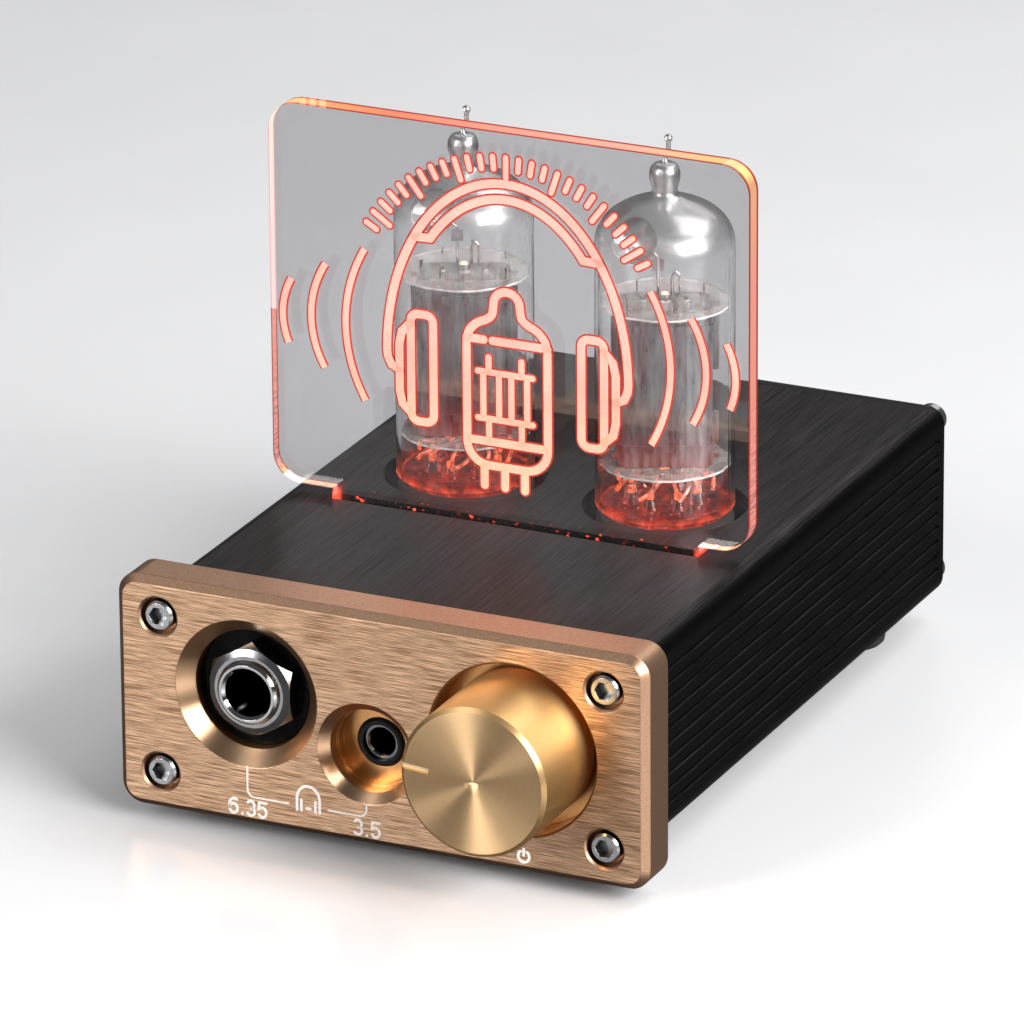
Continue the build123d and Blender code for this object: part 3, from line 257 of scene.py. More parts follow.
# Each turned recess in the panel: its centre and its outer radius.
RECESSES = ((BIG_MIDDLE, 10.4), (SMALL_MIDDLE, 7.15), (KNOB_MIDDLE, 12.3))


def turned_recesses(graph, face, depth):
    """Where the panel is recessed, the rings turned there, and the way its grooves run."""
    recessed, rings, groove = 0.0, (0.5, 0.5, 0.5), (1, 0, 0)
    for centre, reach in RECESSES:
        around, radius = graph.around_y(centre)
        inside = graph.math("MULTIPLY", graph.remap(radius, reach + 0.1, reach), graph.inverse(face))
        along = graph.math("ADD", radius, depth)
        rings = graph.blend(inside, rings, graph.noise(graph.joined(along, 0.0, 0.0), 3.5, 2.0))
        groove = graph.blend(inside, groove, around)
        recessed = graph.math("ADD", recessed, inside, clamp=True)
    return recessed, rings, groove


def champagne_panel():
    """Thick anodised panel: brushed along X on its face, turned in its recesses with painted shade deep in
    them, satin round its edges.
    """
    graph = Graph("panel_champagne")
    normal_y = graph.math("ABSOLUTE", graph.parts(graph.normal)[1])
    depth = graph.math("SUBTRACT", graph.y, PANEL_FACE)
    face = graph.math("MULTIPLY", graph.remap(normal_y, 0.9, 0.99), graph.remap(depth, 0.3, 0.1))
    lines = streaks(graph, 0, 0.08, 5.5)
    grain = graph.noise(graph.mm, 5.0, 2.0)
    recessed, rings, groove = turned_recesses(graph, face, depth)
    brushed = graph.blend(graph.remap(lines, 0.43, 0.57), (0.34, 0.19, 0.108), (0.95, 0.62, 0.40))
    satin = graph.blend(graph.remap(grain, 0.3, 0.7), (0.50, 0.30, 0.185), (0.62, 0.385, 0.25))
    bright = graph.blend(rings, (0.66, 0.40, 0.23), (0.82, 0.54, 0.34))
    # Painted shade: deeper than 1.6 mm the turned recesses darken to a deeper orange.
    turned = graph.blend(graph.remap(depth, 1.6, 3.0), bright, (0.72, 0.38, 0.15))
    edges = graph.blend(recessed, satin, turned)
    height = graph.blend(face, graph.math("MULTIPLY", grain, 0.4), lines)
    line_roughness = graph.math("MULTIPLY", lines, 0.06)
    shader = graph.principled(
        Base_Color=graph.blend(face, edges, brushed),
        Metallic=1.0,
        Roughness=graph.math("ADD", graph.remap(recessed, 0.0, 1.0, 0.36, 0.26), line_roughness),
        Anisotropic=graph.math("MULTIPLY", graph.math("MAXIMUM", face, recessed), 0.62),
        Tangent=graph.tangent(groove),
        Normal=graph.bump(height, 0.012, graph.soft_edges(0.15)),
    )
    return graph.done(shader)


def black_anodised(name, along):
    """Black anodised metal, brushed along X (0) or Y (1); on faces towards +X and -X it is plainer, and
    painted shade makes it darker there.
    """
    graph = Graph(name)
    lines = streaks(graph, along, 0.09, 12.0)
    groove = (1, 0, 0) if along == 0 else (0, 1, 0)
    brushed = graph.blend(graph.remap(lines, 0.40, 0.60), (0.001, 0.001, 0.001), (0.038, 0.033, 0.034))
    # Painted shade: faces towards +X and -X get a darker colour than the top.
    painted_shade_sides = graph.remap(graph.math("ABSOLUTE", graph.parts(graph.normal)[0]), 0.4, 0.9)
    height = graph.math("MULTIPLY", lines, graph.inverse(painted_shade_sides))
    haze = graph.noise(graph.mm, 0.05, 3.0)
    roughness = graph.math("ADD", graph.remap(haze, 0.3, 0.7, 0.3, 0.36), graph.math("MULTIPLY", lines, 0.08))
    shader = graph.principled(
        Base_Color=graph.blend(painted_shade_sides, brushed, (0.0016, 0.0016, 0.0016)),
        Metallic=0.6,
        Roughness=roughness,
        Anisotropic=graph.remap(painted_shade_sides, 0.0, 1.0, 0.5, 0.0),
        Tangent=graph.tangent(groove),
        Specular_IOR_Level=0.06,
        Normal=graph.bump(height, 0.01, graph.soft_edges(0.12)),
    )
    return graph.done(shader)


def turned_gold():
    """The knob: spun face with radial shine, fine rings round its side, and a painted reflection as a pale
    line in its groove.
    """
    graph = Graph("knob_gold")
    around, radius = graph.around_y(KNOB_MIDDLE)
    facing = graph.remap(graph.math("ABSOLUTE", graph.parts(graph.normal)[1]), 0.6, 0.9)
    depth = graph.math("SUBTRACT", graph.y, KNOB_LOW.y)
    face_rings = graph.noise(graph.joined(radius, 0.0, 0.0), 4.0, 3.0, 0.6)
    side_rings = graph.noise(graph.joined(depth, 0.0, 0.0), 5.0, 3.0, 0.6)
    rings = graph.blend(facing, side_rings, face_rings)
    face_colour = graph.blend(rings, (0.76, 0.50, 0.255), (0.90, 0.605, 0.33))
    side_colour = graph.blend(rings, (0.80, 0.49, 0.19), (0.93, 0.60, 0.26))
    colour = graph.blend(facing, side_colour, face_colour)
    # The pale line in the pointer groove is a painted reflection of the light the notch catches.
    inside = graph.remap(radius, KNOB_RADIUS - 0.05, KNOB_RADIUS - 0.25)
    cut = graph.math("MULTIPLY", graph.remap(depth, 0.35, 0.5), graph.remap(depth, 1.2, 1.0))
    groove = graph.math("MULTIPLY", cut, graph.math("MULTIPLY", inside, facing))
    shader = graph.principled(
        Base_Color=graph.blend(groove, colour, (0.95, 0.80, 0.55)),
        Metallic=graph.math("SUBTRACT", 1.0, graph.math("MULTIPLY", groove, 0.7)),
        Roughness=graph.remap(facing, 0.0, 1.0, 0.42, 0.36),
        Anisotropic=graph.remap(facing, 0.0, 1.0, 0.7, 0.93),
        Tangent=graph.tangent(around),
        Normal=graph.bump(rings, 0.0015),
    )
    return graph.done(shader)


def metal(name, colour, roughness, wear=0.08, cloudy=0.25):
    """Plated or bare metal with fine scratches and painted shade in its holes; cloudy is how uneven its
    colour is.
    """
    graph = Graph(name)
    scratch = graph.noise(graph.vector("MULTIPLY", graph.mm, (1.0, 4.0, 0.4)), 6.0, 4.0, 0.7)
    cloud = graph.noise(graph.mm, 0.8, 3.0)
    darker = tuple(value * (1 - cloudy) for value in colour)
    uneven = graph.blend(graph.remap(cloud, 0.35, 0.65), darker, colour)
    # Painted shade: in holes and tight corners the colour falls to a twelfth of itself.
    painted_hole_shade = tuple(value * 0.12 for value in colour)
    shader = graph.principled(
        Base_Color=graph.blend(graph.remap(graph.open_to_light(1.2), 0.25, 0.8), painted_hole_shade, uneven),
        Metallic=1.0,
        Roughness=graph.math("ADD", roughness, graph.math("MULTIPLY", graph.remap(scratch, 0.4, 0.8), wear)),
        Normal=graph.bump(scratch, 0.002, graph.soft_edges(0.08)),
    )
    return graph.done(shader)


def moulded(name, colour, roughness, grain_depth=0.02, grain=2.2, coat=0.0, shine=0.5):
    """Moulded plastic or rubber with a fine grain and slight colour changes."""
    graph = Graph(name)
    grain_noise = graph.noise(graph.mm, grain, 5.0, 0.65)
    cloud = graph.noise(graph.mm, 0.3, 3.0)
    lighter = tuple(min(1.0, value * 1.35 + 0.004) for value in colour)
    shader = graph.principled(
        Base_Color=graph.blend(graph.remap(cloud, 0.3, 0.7), colour, lighter),
        Roughness=graph.math("ADD", roughness, graph.math("MULTIPLY", grain_noise, 0.15)),
        Coat_Weight=coat,
        Specular_IOR_Level=shine,
        Normal=graph.bump(grain_noise, grain_depth, graph.soft_edges(0.1)),
    )
    return graph.done(shader)


def circuit_board():
    """Green solder mask over copper tracks that run in straight cells, with bare pads at random."""
    graph = Graph("board_laminate")
    brick = graph.node(
        "ShaderNodeTexBrick",
        {"offset": 0.37},
        {"Vector": graph.mm, "Scale": 0.35, "Mortar Size": 0.035, "Brick Width": 0.9, "Row Height": 0.42},
    )
    tracks = brick.outputs["Fac"]
    pads = graph.remap(graph.cells(graph.mm, 0.28), 0.16, 0.13)
    mask = graph.blend(tracks, (0.010, 0.060, 0.030), (0.022, 0.125, 0.060))
    weave = graph.noise(graph.mm, 3.0, 2.0)
    shader = graph.principled(
        Base_Color=graph.blend(pads, mask, (0.66, 0.64, 0.60)),
        Metallic=pads,
        Roughness=graph.remap(weave, 0.3, 0.7, 0.3, 0.42),
        Normal=graph.bump(graph.math("ADD", tracks, pads), 0.03, graph.soft_edges(0.08)),
    )
    return graph.done(shader)


def valve_glass(name, film, foot_light):
    """Clear glass with painted red lamp light at its foot: a red tint and a red glow. film is its dome's grey
    mirror, foot_light the painted glow of its rim.
    """
    graph = Graph(name)
    ripple = graph.noise(graph.vector("MULTIPLY", graph.mm, (0.3, 0.3, 0.1)), 1.0, 2.0)
    height = graph.math("SUBTRACT", graph.z, BULB_LOW.z)
    painted_red_falloff = graph.math("POWER", graph.remap(height, 5.0, 0.0), 2.0)
    # The red at the foot is painted lamp light, not a tint of the glass.
    glass = graph.principled(
        Base_Color=graph.blend(painted_red_falloff, (0.97, 0.98, 0.98), (0.58, 0.22, 0.18)),
        Roughness=graph.remap(ripple, 0.3, 0.7, 0.0, 0.012),
        IOR=1.5,
        Transmission_Weight=1.0,
        Normal=graph.bump(ripple, 0.04),
    )
    mirror = graph.principled(
        Base_Color=(0.60, 0.59, 0.58),
        Metallic=1.0,
        Roughness=0.26,
        Normal=graph.bump(ripple, 0.04),
    )
    cover = graph.remap(graph.z, SHOULDER - 1.5, SHOULDER + 6.0, 0.0, film)
    flicker = graph.noise(graph.mm, 0.55, 3.0)
    # Painted light: haze is a red glow near the foot, and rim an orange glint round the glass's rim.
    haze = graph.math("MULTIPLY", painted_red_falloff, graph.remap(flicker, 0.4, 0.7, 0.0, 0.22))
    patchy = graph.remap(flicker, 0.35, 0.6, 0.2, 1.0)
    rim = graph.math("MULTIPLY", graph.remap(height, 1.0, 0.2, 0.0, foot_light), patchy)
    red, orange = graph.glow((1.0, 0.07, 0.025), haze), graph.glow((1.0, 0.17, 0.06), rim)
    lit = graph.added(graph.mixed(cover, glass, mirror), graph.added(red, orange))
    return graph.done(graph.clear_to_light(lit, (0.96, 0.96, 0.96)))


TOP_COLOURS = ((1.0, 0.50, 0.16), (1.0, 0.26, 0.15), (1.0, 0.36, 0.27), (1.0, 0.46, 0.34), (1.0, 0.66, 0.22))
RIGHT_COLOURS = ((0.80, 0.30, 0.28), (1.0, 0.36, 0.28), (1.0, 0.38, 0.30), (1.0, 0.50, 0.26))


def edge_light(graph):
    """Light from the plate's cut edges: orange on top, pink on the right, faint below, red at the rims."""
    normal_x, normal_y, normal_z = graph.parts(graph.normal)
    upward = graph.remap(normal_z, 0.3, 0.8)
    downward = graph.remap(normal_z, -0.3, -0.8)
    rightward = graph.remap(normal_x, 0.3, 0.8)
    across = graph.math("DIVIDE", graph.math("SUBTRACT", graph.x, PLATE_LOW.x), PLATE_HIGH.x - PLATE_LOW.x)
    height = graph.math("DIVIDE", graph.math("SUBTRACT", graph.z, PLATE_BOTTOM), PLATE_HIGH.z - PLATE_BOTTOM)
    from_front = graph.math("SUBTRACT", graph.y, PLATE_LOW.y)
    from_back = graph.math("SUBTRACT", PLATE_HIGH.y, graph.y)
    core = graph.remap(graph.math("MINIMUM", from_front, from_back), 0.15, 0.8)
    colour = graph.blend(downward, (0.75, 0.40, 0.38), (0.60, 0.44, 0.46))
    colour = graph.blend(rightward, colour, graph.ramp(height, *RIGHT_COLOURS))
    colour = graph.blend(upward, colour, graph.ramp(across, *TOP_COLOURS))
    colour = graph.blend(core, (0.85, 0.05, 0.025), colour)
    level = graph.math("ADD", graph.math("MULTIPLY", upward, 0.75), graph.math("MULTIPLY", rightward, 0.5))
    level = graph.math("ADD", level, graph.remap(downward, 0.0, 1.0, 0.28, 0.16))
    saw = graph.noise(graph.vector("MULTIPLY", graph.mm, (1.0, 0.3, 3.0)), 1.0, 2.0)
    low_down = graph.remap(height, 0.5, 0.0)
    rough_cut = graph.blend(low_down, (1.0, 1.0, 1.0), graph.remap(saw, 0.35, 0.65, 0.6, 1.2))
    level = graph.math("MULTIPLY", level, rough_cut)
    level = graph.math("MULTIPLY", level, graph.remap(core, 0.0, 1.0, 0.5, 1.1))
    edge = graph.remap(graph.math("ABSOLUTE", normal_y), 0.6, 0.4)
    above = graph.remap(graph.z, CASE_TOP, CASE_TOP + 0.6)
    return graph.glow(colour, graph.math("MULTIPLY", graph.math("MULTIPLY", edge, above), level))


def tongue_glints(graph):
    """Red sparks where the plate's tongue enters the slot, and its two lit ends."""
    dots = graph.remap(graph.cells(graph.vector("MULTIPLY", graph.mm, (0.9, 1.7, 1.1)), 1.0), 0.3, 0.12)
    patches = graph.remap(graph.noise(graph.joined(graph.x, 0.0, 0.0), 0.16, 1.0), 0.46, 0.6, 0.06, 1.0)
    in_slot = graph.remap(graph.math("ABSOLUTE", graph.math("SUBTRACT", graph.z, CASE_TOP)), 0.6, 0.3)
    sparks = graph.math("MULTIPLY", graph.math("MULTIPLY", dots, patches), in_slot)
    from_middle = graph.math("ABSOLUTE", graph.math("SUBTRACT", graph.x, TONGUE_MIDDLE))
    at_ends = graph.remap(graph.math("ABSOLUTE", graph.math("SUBTRACT", from_middle, TONGUE_HALF)), 0.7, 0.1)
    low_end = graph.math("MULTIPLY", at_ends, graph.remap(graph.z, PLATE_BOTTOM + 0.1, CASE_TOP + 0.3))
    return graph.glow((1.0, 0.08, 0.035), graph.math("ADD", graph.math("MULTIPLY", sparks, 2.4), low_end))


def lit_acrylic():
    """Polished sheet that carries its lamps' light to its cut edges."""
    graph = Graph("clear_acrylic")
    dust = graph.noise(graph.mm, 0.9, 4.0, 0.7)
    sheet = graph.principled(
        Base_Color=(0.90, 0.89, 0.90),
        Roughness=graph.remap(dust, 0.4, 0.8, 0.0, 0.02),
        IOR=1.49,
        Transmission_Weight=1.0,
    )
    lit = graph.added(graph.added(sheet, edge_light(graph)), tongue_glints(graph))
    return graph.done(graph.clear_to_light(lit, (0.92, 0.92, 0.92)))


def engraved_light(name, high_colour, low_colour, strength):
    """Frosted engraving that scatters the sheet's light, in one colour high up and another near the lamps."""
    graph = Graph(name)
    colour = graph.blend(graph.remap(graph.z, PLATE_BOTTOM, PLATE_BOTTOM + 30.0), low_colour, high_colour)
    frost = graph.noise(graph.mm, 4.0, 3.0, 0.7)
    slow = graph.noise(graph.mm, 0.09, 2.0)
    uneven = graph.remap(slow, 0.3, 0.7, 0.8, 1.15)
    level = graph.math("MULTIPLY", graph.remap(frost, 0.3, 0.7, 0.85, 1.1), uneven)
    shader = graph.principled(
        Base_Color=tuple(value * 0.4 for value in high_colour),
        Roughness=0.6,
        Emission_Color=colour,
        Emission_Strength=graph.math("MULTIPLY", level, strength),
        Normal=graph.bump(frost, 0.05),
    )
    return graph.done(shader)


def printed_ink():
    """Pale screen print with a faint painted glow, a little uneven at the edges of the brushed lines below
    it.
    """
    graph = Graph("panel_print")
    grain = graph.noise(graph.vector("MULTIPLY", graph.mm, (0.6, 4.0, 4.0)), 1.5, 3.0)
    white = graph.blend(graph.remap(grain, 0.3, 0.7), (0.84, 0.77, 0.71), (0.95, 0.91, 0.87))
    # The faint glow is painted light that keeps the print pale where shade falls on it.
    shader = graph.principled(
        Base_Color=white,
        Roughness=0.5,
        Emission_Color=white,
        Emission_Strength=0.1,
        Normal=graph.bump(grain, 0.01),
    )
    return graph.done(shader)


def split_mica():
    """Thin mica: clear and a little cloudy on its faces, bright where its cut edge catches the light."""
    graph = Graph("mica")
    cloud = graph.noise(graph.mm, 0.6, 4.0)
    flakes = graph.cells(graph.vector("MULTIPLY", graph.mm, (0.5, 0.8, 3.0)), 1.0)
    sheet = graph.principled(
        Base_Color=graph.blend(graph.remap(cloud, 0.3, 0.7), (0.34, 0.31, 0.29), (0.58, 0.55, 0.52)),
        Roughness=0.25,
        Specular_IOR_Level=0.8,
        Normal=graph.bump(flakes, 0.02),
    )
    clear = graph.node("ShaderNodeBsdfTransparent", None, {"Color": (0.94, 0.92, 0.91)}).outputs[0]
    flat = graph.remap(graph.math("ABSOLUTE", graph.parts(graph.normal)[2]), 0.5, 0.9)
    see_through = graph.math("MULTIPLY", flat, graph.remap(cloud, 0.3, 0.7, 0.84, 0.72))
    return graph.done(graph.mixed(see_through, sheet, clear))


def carbonised_anode():
    """Dull grey carbonised sheet with a rubbed sheen, and a painted red glow at its foot for the lamp's
    light.
    """
    graph = Graph("anode_grey")
    rub = graph.noise(graph.vector("MULTIPLY", graph.mm, (1.2, 1.2, 0.2)), 1.0, 4.0, 0.6)
    # Painted light: the red glow towards the foot stands in for the lamp shining on the anode.
    low = graph.remap(graph.z, MICA_LOW.z + 11.0, MICA_LOW.z)
    shader = graph.principled(
        Base_Color=graph.blend(graph.remap(rub, 0.3, 0.7), (0.11, 0.105, 0.107), (0.23, 0.22, 0.225)),
        Metallic=0.85,
        Roughness=graph.remap(rub, 0.3, 0.7, 0.26, 0.42),
        Emission_Color=(1.0, 0.07, 0.03),
        Emission_Strength=graph.math("MULTIPLY", graph.math("POWER", low, 2.0), 0.22),
        Normal=graph.bump(rub, 0.04),
    )
    return graph.done(shader)


def glowing_heater():
    """The hot end of the heater."""
    graph = Graph("heater_glow")
    hot = graph.noise(graph.mm, 2.0, 2.0)
    shader = graph.principled(
        Base_Color=(0.7, 0.5, 0.4),
        Roughness=0.7,
        Emission_Color=graph.blend(hot, (1.0, 0.20, 0.03), (1.0, 0.36, 0.07)),
        Emission_Strength=1.9,
        Normal=graph.bump(hot, 0.05),
    )
    return graph.done(shader)


def lit_wires():
    """Tinned wire inside the bulbs, with a painted red glow for the lamp below them."""
    graph = Graph("lit_wires")
    tarnish = graph.noise(graph.mm, 1.5, 3.0)
    # Painted light: the red glow, strongest at the foot, stands in for the lamp's light on the wires.
    painted_red_falloff = graph.remap(graph.z, MICA_LOW.z, BUTTON_TOP)
    inside = graph.remap(graph.z, BUTTON_TOP - 0.2, BUTTON_TOP + 0.2)
    lit = graph.math("MULTIPLY", painted_red_falloff, inside)
    level = graph.math("MULTIPLY", lit, graph.remap(tarnish, 0.3, 0.7, 0.3, 2.2))
    shader = graph.principled(
        Base_Color=graph.blend(graph.remap(tarnish, 0.3, 0.7), (0.20, 0.14, 0.12), (0.40, 0.33, 0.30)),
        Metallic=1.0,
        Roughness=0.34,
        Emission_Color=(1.0, 0.13, 0.035),
        Emission_Strength=level,
        Normal=graph.bump(tarnish, 0.01),
    )
    return graph.done(shader)


def red_lamp():
    """A lit lamp's clear red body."""
    graph = Graph("lamp_red")
    swirl = graph.noise(graph.mm, 1.2, 2.0)
    shader = graph.principled(
        Base_Color=(0.8, 0.05, 0.03),
        Roughness=0.15,
        Emission_Color=graph.blend(swirl, (1.0, 0.03, 0.012), (1.0, 0.09, 0.03)),
        Emission_Strength=1.3,
        Normal=graph.bump(swirl, 0.02),
    )
    return graph.done(shader)


# ---- mesh helpers ----


def loft(rings, joined=False):
    """Closed skin over rings of points, with its ends capped, or bridged to each other if joined."""
    count = len(rings[0])
    vertices = [point for ring in rings for point in ring]
    faces = []
    for index in range(len(rings) if joined else len(rings) - 1):
        here, there = index * count, (index + 1) % len(rings) * count
        for corner in range(count):
            neighbour = (corner + 1) % count
            faces.append([here + corner, here + neighbour, there + neighbour, there + corner])
    if not joined:
        faces.append(list(range(count)))
        faces.append(list(range(len(vertices) - count, len(vertices))))
    return vertices, faces


def add_object(name, data):
    """A new object in the scene that holds a mesh, a lamp or a camera."""
    made = bpy.data.objects.new(name, data)
    bpy.context.scene.collection.objects.link(made)
    return made


def make_piece(name, body, skins, material, smooth=False):
    """One piece from closed skins in millimetres, riding on a body."""
    shell = bmesh.new()
    for vertices, faces in skins:
        made = [shell.verts.new(Vector(point) * MM) for point in vertices]
        for face in faces:
            shell.faces.new([made[index] for index in face])
    bmesh.ops.recalc_face_normals(shell, faces=shell.faces)
    mesh = bpy.data.meshes.new(name)
    shell.to_mesh(mesh)
    shell.free()
    mesh.materials.append(material)
    if smooth:
        mesh.shade_smooth()
        mesh.set_sharp_from_angle(angle=math.radians(40))
    piece = add_object(name, mesh)
    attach(piece, body)


def ribbon(points, width, y_front, y_back, ends="round"):
    """A flat stroke along points in (x, z). Its ends are "round", "square" or "joined" to each other."""
    points = [Vector(point) for point in points]
    joined = ends == "joined"
    half = width / 2
    sections = []
    for index, point in enumerate(points):
        steps = []
        if joined or index > 0:
            steps.append((point - points[index - 1]).normalized())
        if joined or index < len(points) - 1:
            steps.append((points[(index + 1) % len(points)] - point).normalized())
        along = (steps[0] + steps[-1]).normalized()
        mitre = max(0.5, along.dot(steps[0]))
        sections.append((point, Vector((-along.y, along.x)), half / mitre))
    if ends == "round":
        sections = round_end(sections, 0, 1, half)[::-1] + sections + round_end(sections, -1, -2, half)
    rings = []
    for point, side, reach in sections:
        left, right = point + side * reach, point - side * reach
        rings.append([
            (left.x, y_front, left.y),
            (right.x, y_front, right.y),
            (right.x, y_back, right.y),
            (left.x, y_back, left.y),
        ])
    return loft(rings, joined)


def round_end(sections, end, inner, half):
    """The narrowing sections beyond one end of a stroke, from the end outwards."""
    point, side, reach = sections[end]
    outward = (point - sections[inner][0]).normalized()
    return [
        (point + outward * half * math.sin(angle), side, reach * math.cos(angle))
        for angle in (math.radians(degrees) for degrees in (25, 48, 68, 82))
    ]


def arc(centre, radius_x, radius_z, start, end, steps=24):
    """Points of an elliptical arc, from start to end degrees, anticlockwise from +X."""
    angles = [math.radians(start + (end - start) * step / steps) for step in range(steps + 1)]
    x, z = centre
    return [(x + radius_x * math.cos(angle), z + radius_z * math.sin(angle)) for angle in angles]


def arc_through(first, middle, last, steps=24):
    """Points of the circular arc through three points."""
    (ax, ay), (bx, by), (cx, cy) = first, middle, last
    turn = 2 * (ax * (by - cy) + bx * (cy - ay) + cx * (ay - by))
    a2, b2, c2 = ax * ax + ay * ay, bx * bx + by * by, cx * cx + cy * cy
    centre = Vector((
        (a2 * (by - cy) + b2 * (cy - ay) + c2 * (ay - by)) / turn,
        (a2 * (cx - bx) + b2 * (ax - cx) + c2 * (bx - ax)) / turn,
    ))
    radius = (Vector(first) - centre).length
    ends = [Vector(point) - centre for point in (first, middle, last)]
    start, half_way, end = [math.degrees(math.atan2(spoke.y, spoke.x)) for spoke in ends]
    if (half_way - start) % 360 > (end - start) % 360:
        return arc(centre, radius, radius, start, start - (start - end) % 360, steps)
    return arc(centre, radius, radius, start, start + (end - start) % 360, steps)


def rounded_box(low, high, radius, steps=6):
    """Closed outline of a box with round corners, in (x, z)."""
    corners = (
        ((high[0] - radius, high[1] - radius), 0),
        ((low[0] + radius, high[1] - radius), 90),
        ((low[0] + radius, low[1] + radius), 180),
        ((high[0] - radius, low[1] + radius), 270),
    )
    arcs = [arc(centre, radius, radius, start, start + 90, steps) for centre, start in corners]
    return [point for corner in arcs for point in corner]


def curve_through(points, steps=6):
    """A smooth line through points in space."""
    points = [Vector(point) for point in points]
    line = []
    for index in range(len(points) - 1):
        before, start = points[max(index - 1, 0)], points[index]
        end, after = points[index + 1], points[min(index + 2, len(points) - 1)]
        for step in range(steps):
            t = step / steps
            line.append(0.5 * (
                2 * start + (end - before) * t + (2 * before - 5 * start + 4 * end - after) * t * t
                + (3 * start - before - 3 * end + after) * t ** 3
            ))
    return line + [points[-1]]


def rod(points, radius, sides=8):
    """A round wire along points in space."""
    rings = []
    side = None
    for index, point in enumerate(points):
        along = points[min(index + 1, len(points) - 1)] - points[max(index - 1, 0)]
        along.normalize()
        if side is None:
            side = along.orthogonal()
        side = (side - along * side.dot(along)).normalized()
        other = along.cross(side)
        turns = [math.tau * corner / sides for corner in range(sides)]
        rings.append([point + radius * (side * math.cos(turn) + other * math.sin(turn)) for turn in turns])
    return loft(rings)


# ---- marks on the panel ----

PRINT_TOP = PANEL_FACE - 0.05
PRINT_BOTTOM = PANEL_FACE - 0.002
PRINT_LINE = 0.36
BRACKET_LINE = 0.22


def headphone_mark(x, z, width):
    """A small headphone pictogram: headband, two ear pads and a dash between them."""
    half = width / 2
    strokes = [[(x + half, z - half), *arc((x, z), half, half * 1.15, 0, 180), (x - half, z - half)]]
    for side in (-1, 1):
        inner_x = x + side * width * 0.31
        strokes.append([(inner_x, z - half * 0.1), (inner_x, z - half)])
    strokes.append([(x - width * 0.08, z - half * 0.75), (x + width * 0.08, z - half * 0.75)])
    return strokes


def digit_strokes(digit, x, z, height):
    """A digit of round strokes, centred on x and standing on z."""
    half = height * 0.28
    if digit == "3":
        upper = arc((x, z + height * 0.74), half * 0.9, height * 0.26, 150, -80, 12)
        return [upper + arc((x, z + height * 0.26), half, height * 0.26, 80, -150, 12)]
    if digit == "5":
        corner = [(x + half, z + height), (x - half * 0.8, z + height), (x - half * 0.9, z + height * 0.56)]
        return [corner + arc((x, z + height * 0.33), half, height * 0.33, 125, -150, 14)]
    if digit == "6":
        bowl = arc((x, z + height * 0.32), half, height * 0.32, 180, 540, 20)
        return [arc((x + half * 0.25, z + height * 0.6), half * 1.25, height * 0.4, 60, 165, 8) + bowl]
    return [[(x, z + 0.04), (x, z + 0.08)]]


def number_strokes(text, x, z, height):
    """A number of digits and points, centred on x and standing on z."""
    widths = [height * (0.42 if letter == "." else 0.82) for letter in text]
    place = x - sum(widths) / 2
    strokes = []
    for letter, width in zip(text, widths):
        strokes += digit_strokes(letter, place + width / 2, z, height)
        place += width
    return strokes


def power_strokes(x, z, radius):
    """The usual power sign: an open ring with a bar through the gap."""
    return [arc((x, z), radius, radius, 125, 415, 24), [(x, z + radius * 0.2), (x, z + radius * 1.25)]]


def size_bracket(start, rail, end):
    """A line from start down to the height rail and along to end, with its corner rounded."""
    bend = 1.0
    side = math.copysign(bend, end[0] - start[0])
    corner = arc((start[0] + side, rail + bend), bend, bend, 180 if side > 0 else 360, 270, 6)
    return [start, *corner, end]


def panel_prints(ink):
    """Size marks under the two jacks, a headphone sign between them and a power sign under the knob."""
    mark_x = (BIG_MIDDLE.x + SMALL_MIDDLE.x) / 2 + 0.2
    mark_z = PANEL_LOW.z + 5.0
    rail = mark_z - 1.0
    digits_z, digit_height = PANEL_LOW.z + 1.35, 2.05
    prints = {
        "print_headphones": (headphone_mark(mark_x, mark_z, 3.3), PRINT_LINE),
        "print_brackets": (
            [
                size_bracket((BIG_MIDDLE.x, mark_z + 3.2), rail, (mark_x - 2.9, rail)),
                size_bracket((SMALL_MIDDLE.x, mark_z + 0.7), rail, (mark_x + 2.9, rail)),
            ],
            BRACKET_LINE,
        ),
        "print_size_large": (number_strokes("6.35", BIG_MIDDLE.x, digits_z, digit_height), PRINT_LINE),
        "print_size_small": (number_strokes("3.5", SMALL_MIDDLE.x, digits_z, digit_height), PRINT_LINE),
        "print_power": (power_strokes(KNOB_MIDDLE.x + 1.6, PANEL_LOW.z + 2.35, 0.8), PRINT_LINE),
    }
    for name, (strokes, width) in prints.items():
        skins = [ribbon(stroke, width, PRINT_TOP, PRINT_BOTTOM) for stroke in strokes]
        make_piece(name, "chassis", skins, ink)


# ---- engraving on the plate ----
# Strokes are (points, ends). A point is its distance right of the plate's middle, and its height above
# the engraving's base line.

ART_MIDDLE = middle_of("light_plate").x
ART_BASE = PLATE_HIGH.z - 54.2
ART_LINE = 1.15
ART_FRONT = PLATE_LOW.y - 0.10
ART_BACK = PLATE_LOW.y - 0.012
FRINGE_FRONT = PLATE_LOW.y - 0.05
FRINGE_BACK = PLATE_LOW.y - 0.006
FRINGE_SPREAD = 0.5


def mirrored(points):
    """The same line on the other side of the plate's middle, drawn the other way."""
    return [(-x, z) for x, z in reversed(points)]


def big_headphones():
    """Headphones: a band of two lines, and on each side an ear pad with a cap."""
    middle, outer, inner = (0, 21.5), (17.6, 25.7), (15.7, 23.5)
    cuff = [(15.8, 18.9), (17.0, 19.5), (17.5, 20.6)]
    strokes = [(cuff + arc(middle, *outer, 0, 180, 48) + mirrored(cuff), "round")]
    joint = arc(middle, *outer, 43, 40, 1)[1:]
    strokes.append((joint + arc(middle, *inner, 45, 135, 30) + mirrored(joint), "round"))
    cap = [(14.1, 25.8), (15.4, 24.4), (15.8, 22.6), (15.8, 16.0), (15.4, 14.2), (14.1, 13.0)]
    for flip in (list, mirrored):
        strokes.append((flip(rounded_box((10.8, 12.0), (14.1, 27.2), 1.1)), "joined"))
        strokes.append((flip(cap), "round"))
    return strokes


